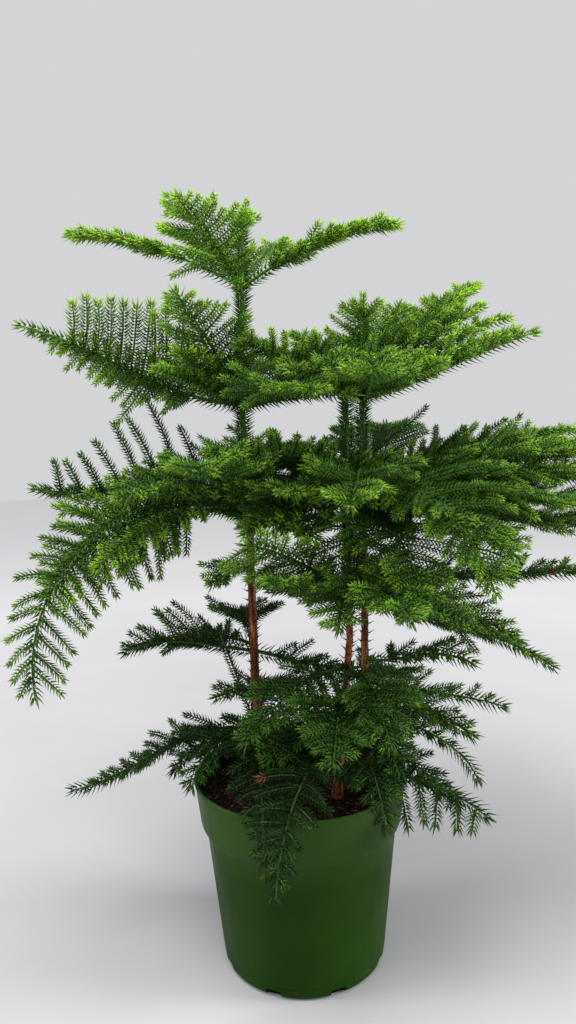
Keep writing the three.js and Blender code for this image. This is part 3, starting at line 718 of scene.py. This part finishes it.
def between(one, other, share):
    gap = (other["heading"] - one["heading"]) % (2 * math.pi)
    mean = {key: one[key] * (1 - share) + other[key] * share for key in ("height", "length", "reach")}
    rises = [a * (1 - share) + b * share + BETWEEN_LIFT for a, b in zip(one["rises"], other["rises"])]
    row = spray(tier_of(one), 0, math.degrees(one["heading"] + gap * share) % 360, 0, rises, 0, bare=0.1)
    row["height"] = mean["height"] - BETWEEN_LOWER
    row["length"] = min(BETWEEN_LONGEST, mean["length"] * BETWEEN_LENGTH)
    row["reach"] = mean["reach"] * BETWEEN_REACH
    return row


finer = list(FILLERS)
for tier in FULL_TIERS:
    rows = sorted((row for row in SPRAYS if tier_of(row) == tier), key=lambda row: row["heading"])
    for one, other in zip(rows, rows[1:] + rows[:1]):
        gap = (other["heading"] - one["heading"]) % (2 * math.pi)
        parts = max(1, round(gap / WIDE_GAP + ROUND_UP))
        new_rows = [between(one, other, k / parts) for k in range(1, parts)]
        finer += [row for row in new_rows if row["heading"] < math.pi]
print(len(finer) - len(FILLERS), "sprays between neighbours")

# %% [markdown]
# A spray's midrib is a line that bends as it goes: its rise changes smoothly from foot to tip, and
# each short step follows the direction at its own middle. A point of the spray is then given by its
# distance along the midrib and its distance to one side, which makes the shoots easy to place.
# %% Midribs
RIB_STEPS = 24
RIB_FOOT_WIDTH = 0.0046
RIB_TIP_WIDTH = 0.0026


def stem_at(stem, height):
    """The middle of a stem and its radius at a height."""
    table = np.array(STEMS[stem])
    x, y, radius = (np.interp(height, table[:, 2], table[:, k]) for k in (0, 1, 3))
    return np.array((x, y, height)), radius


def directions(row, share):
    """The forward and sideways directions of a midrib at shares of its length."""
    foot, middle, tip = row["rises"]
    t = np.asarray(share, float)
    rise = np.radians(foot * (1 - t) * (1 - 2 * t) + 4 * middle * t * (1 - t) + tip * t * (2 * t - 1))
    turn = row["heading"]
    level = np.array((math.cos(turn), math.sin(turn), 0))
    right = np.array((math.sin(turn), -math.cos(turn), 0))
    forward = np.cos(rise)[:, None] * level + np.sin(rise)[:, None] * np.array((0, 0, 1))
    up = np.cross(right, forward)
    return forward, math.cos(row["bank"]) * right + math.sin(row["bank"]) * up


def midrib(row):
    marks = np.linspace(0, 1, RIB_STEPS + 1)
    forward, across = directions(row, marks)
    halfway, _ = directions(row, (marks[:-1] + marks[1:]) / 2)
    steps = np.vstack([np.zeros(3), np.cumsum(halfway * row["length"] / RIB_STEPS, axis=0)])
    return dict(length=row["length"], places=stem_at(row["stem"], row["height"])[0] + steps,
                forward=forward, across=across)


def spots(rib, distances):
    """Places and directions at distances along a midrib, straight on past its ends."""
    d = np.atleast_1d(np.asarray(distances, float))
    inside_rib = np.clip(d, 0, rib["length"])
    marks = np.linspace(0, rib["length"], RIB_STEPS + 1)
    forward = unit(interpolated(inside_rib, marks, rib["forward"]))
    normal = unit(np.cross(interpolated(inside_rib, marks, rib["across"]), forward))
    places = interpolated(inside_rib, marks, rib["places"]) + forward * (d - inside_rib)[:, None]
    return places, np.cross(forward, normal), normal


print("the highest midrib's tip is at", midrib(SPRAYS[0])["places"][-1].round(3))

# %% [markdown]
# A side shoot leaves its midrib at the opening angle, sweeps forward, lifts off the spray's plane
# and sags with its own weight. Small draws from the normal distribution make each one a little
# different. Shoots are longest before the middle of the spray. Youth is a tier's place between the
# soil, 0, and the top, 1. A shoot that would run into a stem, the soil or the pot's wall is left out.
# %% Side shoots
SHOOT_STEP = 0.011
SHOOT_SWEEP = 14
SHOOT_SAG = 0.5
SHOOT_WAVE = 0.07
ROOT_INSIDE = 1 / 8
SWING_SPREAD = 4
USUAL_LOOSENESS = math.radians(9)
LONGEST_AT = 0.42
LONGEST_PAST_BARE = 0.1
FIRST_SHOOT_SHARE = 0.72
STEM_CLEAR = 0.004
RIM_CLEAR = 0.004
HIGHEST_TIER = 0.860
shape_draws = np.random.default_rng(7)


def youth_of(height):
    return float(np.clip((height - SOIL_LEVEL) / (HIGHEST_TIER - SOIL_LEVEL), 0, 1))


def shoot_share(t, bare, tail):
    """A shoot's share of the spray's longest reach, at a share t of the midrib."""
    peak = max(LONGEST_AT, bare + LONGEST_PAST_BARE)
    if t < peak:
        return FIRST_SHOOT_SHARE + (1 - FIRST_SHOOT_SHARE) * (t - bare) / (peak - bare)
    return 1 + (tail - 1) * (t - peak) / (1 - peak)


def is_clear(points):
    """Whether a shoot keeps off the stems, the soil and the pot's wall."""
    for stem in STEMS:
        top = STEMS[stem][-1][2]
        heights = np.clip(points[:, 2], SOIL_LEVEL, top)
        centres = np.stack([stem_at(stem, height)[0] for height in heights])
        near = np.linalg.norm(points - centres, axis=1)
        if near.min() < stem_at(stem, float(heights[near.argmin()]))[1] + STEM_CLEAR:
            return False
    radius = np.hypot(points[:, 0], points[:, 1])
    in_soil = (radius < POT_RIM_RADIUS) & (points[:, 2] < SOIL_LEVEL + RIM_CLEAR)
    in_wall = (np.abs(radius - POT_RIM_RADIUS) < RIM_CLEAR) & (points[:, 2] < POT_HEIGHT + RIM_CLEAR)
    return not (in_soil | in_wall).any()


def side_shoot(row, rib, foot, hand, length, opening):
    """The line of one side shoot, from inside its midrib to its tip, and its upper side."""
    along = np.linspace(0, length, max(4, int(length / SHOOT_STEP) + 1))
    lift = row["lift"] + shape_draws.normal(0, row["loose"])
    opening += shape_draws.normal(0, SWING_SPREAD) * row["loose"] / USUAL_LOOSENESS
    mean = np.radians(opening - SHOOT_SWEEP * along / (2 * length))
    rib_half = (RIB_FOOT_WIDTH + (RIB_TIP_WIDTH - RIB_FOOT_WIDTH) * foot / row["length"]) / 2
    out = rib_half * np.clip(along / length / ROOT_INSIDE, 0, 1) + along * np.sin(mean)
    places, across, normal = spots(rib, foot + along * np.cos(mean))
    wave = shape_draws.normal(0, SHOOT_WAVE) * along ** 2 / length
    points = places + across * (hand * out)[:, None]
    points += normal * (out * math.tan(lift) + wave)[:, None]
    points[:, 2] -= SHOOT_SAG * out ** 2
    return points, normal.mean(axis=0)


print("youth of the soil and of the top tier", youth_of(SOIL_LEVEL), youth_of(HIGHEST_TIER))

# %% [markdown]
# Now every spray grows. Each line that will carry needles is kept as a record: its kind, its row,
# its points, the direction that counts as its upper side, and its thickness. The shoots stand in
# two rows, closer together than in the solids, and the source's own row of random numbers varies
# their length and their angle.
# %% Grow the sprays
SHOOT_SPACING = 0.0143
LOW_SHOOT_SPACING = 0.0158
SHOOT_OPEN_SPREAD = 4
SHOOT_LENGTH_SPREAD = 0.16
SHOOT_STAGGER = 0.25
SHORTEST_SHOOT = 0.011
LAST_SHOOT = 0.95
TWIG_FOOT, TWIG_TIP = 0.0012, 0.0007
RIB_START = 0.6
RIB_MARKS = 28
SEED = 20261
SEED_STEP = 101


def draws(seed):
    """The source's own row of random numbers from 0 to 1."""
    state = seed
    while True:
        state = state * 16807 % 2147483647
        yield state / 2147483647


lines = []
for index, row in enumerate(SPRAYS + finer):
    rib = midrib(row)
    if row["rib"]:
        start = stem_at(row["stem"], row["height"])[1] * RIB_START
        marks = np.linspace(start, row["length"], RIB_MARKS)
        places, _, normal = spots(rib, marks)
        radii = np.interp(marks, [0, row["length"]], [RIB_FOOT_WIDTH / 2, RIB_TIP_WIDTH / 3])
        lines.append(dict(kind="rib", row=row, points=places, upward=normal, radii=radii))
    random = draws(SEED + index * SEED_STEP)
    spacing = LOW_SHOOT_SPACING + (SHOOT_SPACING - LOW_SHOOT_SPACING) * youth_of(row["height"])
    count = max(1, round(row["length"] * (LAST_SHOOT - row["bare"]) / (spacing * row["apart"])))
    for i in range(count):
        for hand in (1, -1):
            share = row["bare"] + (LAST_SHOOT - row["bare"]) * (i + 0.5 + SHOOT_STAGGER * hand) / count
            length = row["reach"] * shoot_share(share, row["bare"], row["tail"])
            length *= 1 + SHOOT_LENGTH_SPREAD * (next(random) - 0.5)
            opening = row["opening"] + SHOOT_OPEN_SPREAD * (next(random) - 0.5)
            opening -= row["fold"] * share ** 2
            length *= row["sides"][0 if hand > 0 else 1]
            if length < SHORTEST_SHOOT:
                continue
            points, normal = side_shoot(row, rib, share * row["length"], hand, length, opening)
            if is_clear(points[1:]):
                lines.append(dict(kind="shoot", row=row, share=share, points=points,
                                  upward=np.tile(normal, (len(points), 1)),
                                  radii=np.linspace(TWIG_FOOT, TWIG_TIP, len(points))))
shoot_count = sum(line["kind"] == "shoot" for line in lines)
print(shoot_count, "side shoots on", len(SPRAYS + finer), "sprays")

# %% [markdown]
# Two leaders end in a tuft: a ring of new shoots that will be the next tier, and the leader's own
# tip between them.
# %% Leader tufts
TUFTS = {"tall": 0.026, "right": 0.032}
TUFT_SHOOTS = 5
TUFT_MARKS = 6
TUFT_FOOT = 0.004
TUFT_RISE = math.radians(32)
TUFT_TURN = 0.3
TUFT_SUNK = 0.002
TUFT_RADII = (0.0014, 0.0008)
for stem, reach in TUFTS.items():
    x, y, top, _ = STEMS[stem][-1]
    start = np.array((x, y, top - TUFT_SUNK))
    aims = [(0.0, math.pi / 2, 0.0)]
    aims += [(2 * math.pi * (i + TUFT_TURN) / TUFT_SHOOTS, TUFT_RISE, TUFT_FOOT) for i in range(TUFT_SHOOTS)]
    for turn, rise, lift in aims:
        heading = np.array((math.cos(turn) * math.cos(rise), math.sin(turn) * math.cos(rise), math.sin(rise)))
        points = start + np.array((0, 0, lift)) + np.linspace(0, reach, TUFT_MARKS)[:, None] * heading
        upward = np.tile((-math.sin(turn), math.cos(turn), 0.0), (TUFT_MARKS, 1))
        lines.append(dict(kind="tuft", row=dict(height=top, tone=0.0), points=points, upward=upward,
                          radii=np.linspace(*TUFT_RADII, TUFT_MARKS)))
print(len(TUFTS), "leader tufts")

# %% [markdown]
# Along a twig the needles follow each other round it in five ranks, the pattern that gives this
# plant its herringbone look. They stand out almost at a right angle. At a shoot's tip they are
# shorter, point forward and stand closer over the bud, and the first ones at its foot are short.
# %% Where the needles stand
RANK_TURN = math.radians(144)
NEEDLES_FROM = {"rib": 0.001, "shoot": 0.002, "tuft": 0.001, "stem": 0.0}
NEEDLE_PITCH = {"rib": 0.0012, "shoot": 0.00084, "tuft": 0.0009, "stem": 0.00060}
NEEDLE_LENGTH = {"rib": 0.0140, "shoot": 0.0086, "tuft": 0.0112, "stem": 0.0150}
NEEDLE_ANGLES = {"rib": (84, 50), "shoot": (86, 54), "tuft": (80, 46), "stem": (88, 60)}
BUD = 0.013
BUD_NEEDLES = 6
BUD_CROWN = 0.004
BUD_LENGTH = 0.78
BUD_WIDE = 0.62
BUD_WIDE_POWER = 0.7
BUD_NARROW = 0.5
FOOT_LENGTH = 0.55
FOOT_FADE = 0.010
ROOT_DEPTH = 0.7
PITCH_SPREAD = 0.2
TURN_SPREAD = 0.12
LENGTH_SPREAD = 0.09
ANGLE_SPREAD = 4
needle_draws = np.random.default_rng(11)


def needles_on(line, length_scale=1.0, pitch=None, closing=True, spread=1.0):
    """Arrays for the needles of one line: where each is rooted, how it points, and its length."""
    kind = line["kind"]
    points = line["points"]
    steps = np.linalg.norm(np.diff(points, axis=0), axis=1)
    marks = np.concatenate([[0], np.cumsum(steps)])
    total = float(steps.sum())
    start = NEEDLES_FROM[kind]
    pitch = pitch or NEEDLE_PITCH[kind]
    distances = np.arange(start, total, pitch)
    if closing:
        bud = np.linspace(max(start, total - BUD_CROWN), total, BUD_NEEDLES)
        distances = np.concatenate([distances, bud])
    count = len(distances)
    distances = np.clip(distances + needle_draws.normal(0, pitch * PITCH_SPREAD, count), 0, total)
    forward = unit(interpolated(distances, marks, unit(np.gradient(points, axis=0))))
    side = unit(np.cross(forward, interpolated(distances, marks, line["upward"])))
    turns = needle_draws.uniform(0, 2 * np.pi) + np.arange(count) * RANK_TURN
    turns += needle_draws.normal(0, TURN_SPREAD, count)
    outward = np.cos(turns)[:, None] * side + np.sin(turns)[:, None] * np.cross(side, forward)
    radii = np.interp(distances, np.linspace(0, total, len(line["radii"])), line["radii"])
    places = interpolated(distances, marks, points) + outward * (radii * ROOT_DEPTH)[:, None]
    to_tip = np.clip((total - distances) / BUD, 0, 1) if closing else np.ones(count)
    from_foot = np.clip((distances - start) / FOOT_FADE + FOOT_LENGTH, 0, 1)
    lengths = NEEDLE_LENGTH[kind] * length_scale * (BUD_LENGTH + (1 - BUD_LENGTH) * to_tip) * from_foot
    lengths *= needle_draws.normal(1, LENGTH_SPREAD, count)
    wide, narrow = NEEDLE_ANGLES[kind]
    wide = wide * (BUD_WIDE + (1 - BUD_WIDE) * to_tip ** BUD_WIDE_POWER)
    narrow = narrow * (BUD_NARROW + (1 - BUD_NARROW) * to_tip)
    first = np.radians(wide * spread + needle_draws.normal(0, ANGLE_SPREAD, count))
    second = np.radians(narrow * spread + needle_draws.normal(0, ANGLE_SPREAD, count))
    return dict(places=places, forward=forward, outward=outward, lengths=lengths, first=first,
                second=second, to_tip=total - distances)


print(round(0.01 / NEEDLE_PITCH["shoot"]), "needles on a centimetre of a shoot")

# %% [markdown]
# A needle is a curved awl, which bends forward a fifth of the way along, where it is broadest, and
# runs out to a sharp tip. Five corners are enough for it, one at the root, three round the bend and
# one at the tip, and they make a closed mesh of six faces. All needles are wider than in life, 2 mm
# and a little more at the bend, so that fewer of them fill the sprays and their faces stay near a
# million.
# %% The needle's mesh
BEND_AT = 0.2
NEEDLE_DEPTH = 1.6
NEEDLE_FACES = np.array([(0, 1, 2), (0, 2, 3), (0, 3, 1), (4, 2, 1), (4, 3, 2), (4, 1, 3)])


def needle_mesh(needles, widths):
    """Needles as joined closed meshes of five corners and six faces each."""
    forward, outward = needles["forward"], needles["outward"]
    flat = np.cross(forward, outward)

    def aim(angles):
        return np.cos(angles)[:, None] * forward + np.sin(angles)[:, None] * outward

    first, second = needles["first"], needles["second"]
    middle = (first + second) / 2
    back = np.cos(middle)[:, None] * outward - np.sin(middle)[:, None] * forward
    half = (widths / 2)[:, None]
    root = needles["places"]
    bend = root + aim(first) * (needles["lengths"] * BEND_AT)[:, None]
    tip = bend + aim(second) * (needles["lengths"] * (1 - BEND_AT))[:, None]
    round_bend = [bend + flat * half, bend + back * half * NEEDLE_DEPTH, bend - flat * half]
    corners = np.stack([root, *round_bend, tip], axis=1)
    triangles = NEEDLE_FACES[None] + (np.arange(len(widths)) * 5)[:, None, None]
    return corners.reshape(-1, 3), triangles.reshape(-1, 3)


print(len(NEEDLE_FACES), "faces on each needle")

# %% [markdown]
# Colour is dealt out needle by needle from a few plain tones, following the plant's age and the light
# and shade painted into it: the young tiers at the top are bright, the old ones below are dark, the
# inner shoots of a spray are painted darker than the outer ones as the shade of the crown, the
# darkest tone is painted shade low inside the crown, and the last two centimetres of a growing shoot
# are almost yellow. The old needles are also a little longer and narrower. Here and there in the
# older tiers the end of a shoot has dried. Each tone has its own gloss.
# %% Deal out the tones
TONES = {
    # The darkest tone is painted shade for needles low and inside the crown, not a colour they have.
    "painted_shade": (colour(19, 43, 10), "needles_old", 0.10),
    "old": (colour(35, 69, 18), "needles_old", 0.14),
    "mid": (colour(59, 98, 20), "needles_mid", 0.22),
    "young": (colour(98, 141, 18), "needles_young", 0.30),
    "tip": (colour(144, 190, 44), "needles_young", 0.34),
    "dry": (colour(104, 64, 36), "needles_dry", 0.15),
}
TONE_STEPS = (0.17, 0.34, 0.62, 0.92)
OLD_VALUE = 0.195
YOUNG_BRIGHTER = 0.435
OUTER_LIT_INNER_SHADED = 0.26
OUTER_FROM = 0.48
GLOW_LENGTH = 0.020
GLOW = 0.07
YOUNG_GLOW = 0.32
NEEDLE_VARIETY = 0.07
SHOOT_VARIETY = 0.06
WIDTH_VARIETY = 0.08
OLD_LONGER = 1.16
YOUNG_SHORTER = 0.20
DRY_BELOW = 0.7
DRY_CHANCE = 0.006
DRY_END = 0.009
NEEDLE_WIDER = {"rib": 1.15, "shoot": 1.0, "tuft": 1.0, "stem": 1.3}
NEEDLE_WIDTH = 0.00202
YOUNG_WIDER = 0.00018
tone_draws = np.random.default_rng(23)
batches = {tone: [] for tone in TONES}


def deal(line, needles, shift):
    """Sorts one line's needles into the tones' batches."""
    youth = youth_of(line["row"]["height"])
    count = len(needles["lengths"])
    glow = np.clip(1 - needles["to_tip"] / GLOW_LENGTH, 0, 1)
    values = OLD_VALUE + YOUNG_BRIGHTER * youth + shift + line["row"]["tone"]
    values = values + (GLOW + YOUNG_GLOW * youth) * glow + tone_draws.normal(0, NEEDLE_VARIETY, count)
    picks = np.digitize(values, TONE_STEPS)
    width = (NEEDLE_WIDTH + YOUNG_WIDER * youth) * NEEDLE_WIDER[line["kind"]]
    widths = width * tone_draws.normal(1, WIDTH_VARIETY, count)
    if line["kind"] == "shoot" and youth < DRY_BELOW and tone_draws.random() < DRY_CHANCE:
        picks[needles["to_tip"] < DRY_END] = len(TONE_STEPS) + 1
    for number, tone in enumerate(TONES):
        chosen = picks == number
        if chosen.any():
            part = {key: of_all[chosen] for key, of_all in needles.items()}
            batches[tone].append(needle_mesh(part, widths[chosen]))


for line in lines:
    longer = OLD_LONGER - YOUNG_SHORTER * youth_of(line["row"]["height"])
    shift = tone_draws.normal(0, SHOOT_VARIETY)
    if line["kind"] == "shoot":
        longer *= line["row"]["needles"]
        # Inner shoots are painted darker as the crown's shade, outer ones lighter.
        shift += OUTER_LIT_INNER_SHADED * (line["share"] - OUTER_FROM)
    deal(line, needles_on(line, longer), shift)
print("dealt out the needles of", len(lines), "lines")

# %% [markdown]
# The upper part of each stem is green and still carries its own needles, long and spread wide. Below
# it bark has formed, and only remains are left: dry stubs, longest at the foot, and a few old
# needles that get shorter towards it.
# %% Needles on the stems
GREEN_FROM = {"tall": 0.600, "front": 0.500, "right": 0.585}
LEADER_LENGTH = 0.95
LEADER_SPREAD = 1.12
LEADER_SHIFT = -0.22
STEM_STEP = 0.008
BARK_FROM = SOIL_LEVEL + 0.004
STUBS = {"dry": (0.0014, 0.40, 0.45, 1.0), "old": (0.0024, 0.72, 1.0, -0.6)}
STUB_FADE = 0.05
STUB_WIDTH = 0.0020


def stem_line(stem, low, high):
    centres = [stem_at(stem, height) for height in np.arange(low, high + STEM_STEP / 2, STEM_STEP)]
    return dict(kind="stem", row=dict(height=high, tone=0.0),
                points=np.stack([centre for centre, _ in centres]),
                upward=np.tile((1.0, 0, 0), (len(centres), 1)),
                radii=np.array([radius for _, radius in centres]))


for stem in STEMS:
    leader = stem_line(stem, GREEN_FROM[stem], STEMS[stem][-1][2])
    leader_needles = needles_on(leader, LEADER_LENGTH, closing=stem not in TUFTS, spread=LEADER_SPREAD)
    deal(leader, leader_needles, LEADER_SHIFT)
    bark = stem_line(stem, BARK_FROM, GREEN_FROM[stem])
    for tone, (pitch, share, high_up, at_foot) in STUBS.items():
        stubs = needles_on(bark, share, pitch, closing=False)
        foot = np.exp((SOIL_LEVEL - stubs["places"][:, 2]) / STUB_FADE)
        stubs["lengths"] *= high_up + at_foot * foot
        batches[tone].append(needle_mesh(stubs, np.full(len(foot), STUB_WIDTH)))
counts = {tone: sum(len(triangles) for _, triangles in batch) for tone, batch in batches.items()}
print("needle triangles by tone", counts, "in all", sum(counts.values()))

# %% [markdown]
# Each tone becomes a joined mesh, and is split before it has too many triangles. A needle's material
# is a plain tone with a light mottling between neighbours and a soft gloss, and it has no pattern
# whose place would matter.
# %% Needle pieces
MOST_TRIANGLES = 190000
MOTTLE_DARK = 0.72
MOTTLE_LIGHT = 1.28
mass_nodes = sorted(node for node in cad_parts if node.startswith("needles_"))
for tone, (base, slot_name, gloss) in TONES.items():
    dark = tuple(value * MOTTLE_DARK for value in base[:3]) + (1.0,)
    light = tuple(min(1.0, value * MOTTLE_LIGHT) for value in base[:3]) + (1.0,)
    material = mottled(f"needle {tone}", base, (0.48, gloss), (110.0, 2.0), [(0.32, dark), (0.68, light)])
    loads = [[]]
    for part in batches[tone]:
        if sum(len(triangles) for _, triangles in loads[-1]) + len(part[1]) > MOST_TRIANGLES:
            loads.append([])
        loads[-1].append(part)
    for number, load in enumerate(loads):
        mesh_piece(f"needles_{tone}_{number + 1}", *joined(load), material, slot_name, mass_nodes)

# %% [markdown]
# Under their needles the shoots are thin green twigs, and the midribs are a little thicker, with a
# low knob now and then. The bare feet of the strongest sprays are boughs. All are tubes along the
# same lines that carry the needles. The wood of the upper tiers is younger and brighter, so the
# tubes come in two ages.
# %% Twigs and boughs
bough_nodes = sorted(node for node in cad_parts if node.startswith("bough_"))
YOUNG_WOOD_FROM = 0.65
WOOD_TONES = {"old": ((34, 66, 16), (58, 94, 24)), "young": ((52, 94, 18), (80, 126, 30))}
KNOB = 0.10
KNOB_TURN = 2.4
for age, (low, high) in WOOD_TONES.items():
    material = mottled(f"{age} green wood", colour(*low), (0.6, 0.3), (140.0, 3.0),
                       [(0.3, colour(*low)), (0.7, colour(*high))], (0.4, 0.0006))
    twigs, boughs = [], []
    for line in lines:
        if (line["row"]["height"] > YOUNG_WOOD_FROM) != (age == "young"):
            continue
        if line["kind"] == "rib":
            knobs = 1 + KNOB * np.sin(np.arange(len(line["radii"])) * KNOB_TURN)
            boughs.append(tube(line["points"], line["radii"] * knobs, line["upward"], 6))
        else:
            twigs.append(tube(line["points"], line["radii"], line["upward"], 4))
    mesh_piece(f"twigs_{age}", *joined(twigs), material, "green_wood", mass_nodes)
    mesh_piece(f"boughs_and_midribs_{age}", *joined(boughs), material, "green_wood",
               bough_nodes + mass_nodes)

# %% [markdown]
# The bark has streaks along the stem and dark scars where needles have dropped. With height it
# passes from red-brown into the green of the young leader, painted brighter as light on the tall
# stem, which stands free, and darker as painted shade on the two stems inside the crown.
# %% Bark
GREEN_BELOW = 0.05
GREEN_ABOVE = 0.09
# The stems inside the crown take darker greens as painted shade, the free tall stem brighter ones as painted
# light.
SHADED_GREENS = ((32, 66, 14), (58, 100, 24))
STEM_GREENS = {"tall": ((46, 92, 16), (76, 124, 28)), "front": SHADED_GREENS, "right": SHADED_GREENS}


def stem_material(stem):
    material, tree, shader = node_material(f"bark of {stem} stem", colour(116, 58, 38), 0.75, 0.25)
    streaks = object_noise(tree, 170.0, 5.0, (1, 1, 0.12))
    plain_bark = ramp(tree, streaks, [
        (0.30, colour(68, 30, 17)),
        (0.47, colour(122, 62, 35)),
        (0.60, colour(170, 100, 61)),
        (0.72, colour(206, 154, 116)),
    ])
    scars = object_noise(tree, 520.0, 1.0, (1, 1, 0.4))
    scar_tone = ramp(tree, scars, [(0.36, (0.12, 0.10, 0.09, 1)), (0.46, grey(1))])
    bark = mixed(tree, 1.0, plain_bark, scar_tone, "MULTIPLY")
    low, high = STEM_GREENS[stem]
    green = ramp(tree, streaks, [(0.3, colour(*low)), (0.7, colour(*high))])
    youth = add(tree, "MapRange", "Result", {
        "Value": object_height(tree),
        "From Min": GREEN_FROM[stem] - GREEN_BELOW,
        "From Max": GREEN_FROM[stem] + GREEN_ABOVE,
    })
    tree.links.new(mixed(tree, youth, bark, green), shader.inputs["Base Color"])
    bump(tree, shader, streaks, 0.7, 0.001)
    return material


bark_materials = {stem: stem_material(stem) for stem in STEMS}
print([material.name for material in bark_materials.values()])

# %% [markdown]
# The stems are extruded upwards from a circle at the soil, one short ring after another, with the
# root flare in the first few. A displace modifier with a fine noise then gives the bark its ridges.
# %% Stems
STEM_SIDES = 20
STEM_RING = 0.005
STEM_SUNK = 0.002
FLARES = {"tall": 0.010, "front": 0.008, "right": 0.0085}
FLARE_FADE = 0.016
BARK_RELIEF = 0.0022


def stem_rings(stem):
    top = STEMS[stem][-1][2]
    foot = SOIL_LEVEL - STEM_SUNK
    spread = FLARES[stem] - STEMS[stem][0][3]
    rings = []
    for height in np.linspace(foot, top, int((top - foot) / STEM_RING)):
        centre, radius = stem_at(stem, max(height, SOIL_LEVEL))
        flare = spread * math.exp(min(0.0, SOIL_LEVEL - height) / FLARE_FADE)
        rings.append((float(centre[0]), float(centre[1]), float(height), float(radius + flare)))
    return rings


bark_texture = bpy.data.textures.new("bark ridges", "CLOUDS")
bark_texture.noise_scale = 0.0045
bark_texture.noise_depth = 2
for stem in STEMS:
    piece = ringed_piece(f"stem_{stem}_bark", stem_rings(stem), STEM_SIDES)
    ridges = piece.modifiers.new("bark ridges", "DISPLACE")
    ridges.texture = bark_texture
    ridges.texture_coords = "LOCAL"
    ridges.mid_level = 0.5
    ridges.strength = BARK_RELIEF
    apply_modifiers(piece)
    smooth(piece, 60)
    take_place(piece, bark_materials[stem], "bark", f"stem_{stem}")

# %% [markdown]
# Last come the crumbs on the soil: chips of bark and fallen needles. Each is one small six-cornered
# shape of eight faces, turned and scaled by seeded draws and laid on the nearest point of the soil.
# %% Bits on the soil
CHIP_SHAPE = np.array([(1, 0, 0), (-1, 0, 0), (0, 1, 0), (0, -1, 0), (0.2, 0.1, 1), (-0.1, -0.2, -1)])
CHIP_FACES = np.array([(0, 2, 4), (2, 1, 4), (1, 3, 4), (3, 0, 4),
                       (2, 0, 5), (1, 2, 5), (3, 1, 5), (0, 3, 5)])
CHIP_MARGIN = 0.008
CHIP_TILT = 0.25
CHIP_RAISED = 0.4
CHIP_VARIETY = (0.75, 1.25)
SOIL_DEEPEST = SOIL_LEVEL - 0.008
chip_draws = np.random.default_rng(31)
soil_points = np.array([vertex.co[:] for vertex in soil.data.vertices])
soil_points = soil_points[soil_points[:, 2] > SOIL_DEEPEST]


def chips(count, length_range, slimness, thickness):
    turn = chip_draws.uniform(0, 2 * np.pi, count)
    out = (soil_top_radius - CHIP_MARGIN) * np.sqrt(chip_draws.uniform(0, 1, count))
    places = np.stack([out * np.cos(turn), out * np.sin(turn)], 1)
    gaps = ((places[:, None] - soil_points[None, :, :2]) ** 2).sum(axis=2)
    heights = soil_points[gaps.argmin(axis=1), 2]
    half = chip_draws.uniform(*length_range, count)
    turn = chip_draws.uniform(0, 2 * np.pi, count)
    tilt = chip_draws.normal(0, CHIP_TILT, count)
    body = CHIP_SHAPE[None] * np.stack([half, half * slimness, half * thickness], 1)[:, None]
    body = body * chip_draws.uniform(*CHIP_VARIETY, (count, 6, 1))
    x, y, z = body[..., 0], body[..., 1], body[..., 2]
    z = z + x * np.sin(tilt)[:, None]
    cosine, sine = np.cos(turn)[:, None], np.sin(turn)[:, None]
    corners = np.stack([x * cosine - y * sine, x * sine + y * cosine, z], 2)
    middles = np.stack([*places.T, heights + half * thickness * CHIP_RAISED], 1)
    corners += middles[:, None]
    triangles = CHIP_FACES[None] + (np.arange(count) * 6)[:, None, None]
    return corners.reshape(-1, 3), triangles.reshape(-1, 3)


chip_material = mottled("bark chips", colour(84, 50, 32), (0.85, 0.2), (160.0, 2.0), [
    (0.3, colour(22, 14, 10)),
    (0.55, colour(52, 30, 20)),
    (0.8, colour(104, 66, 42)),
])
mesh_piece("bark_chips", *chips(900, (0.0012, 0.0042), 0.6, 0.4), chip_material, "soil")
fallen_material = mottled("fallen needles", colour(128, 62, 30), (0.8, 0.2), (90.0, 2.0),
                          [(0.3, colour(86, 38, 20)), (0.7, colour(170, 100, 54))])
mesh_piece("fallen_needles", *chips(420, (0.004, 0.0068), 0.1, 0.1), fallen_material, "needles_dry")
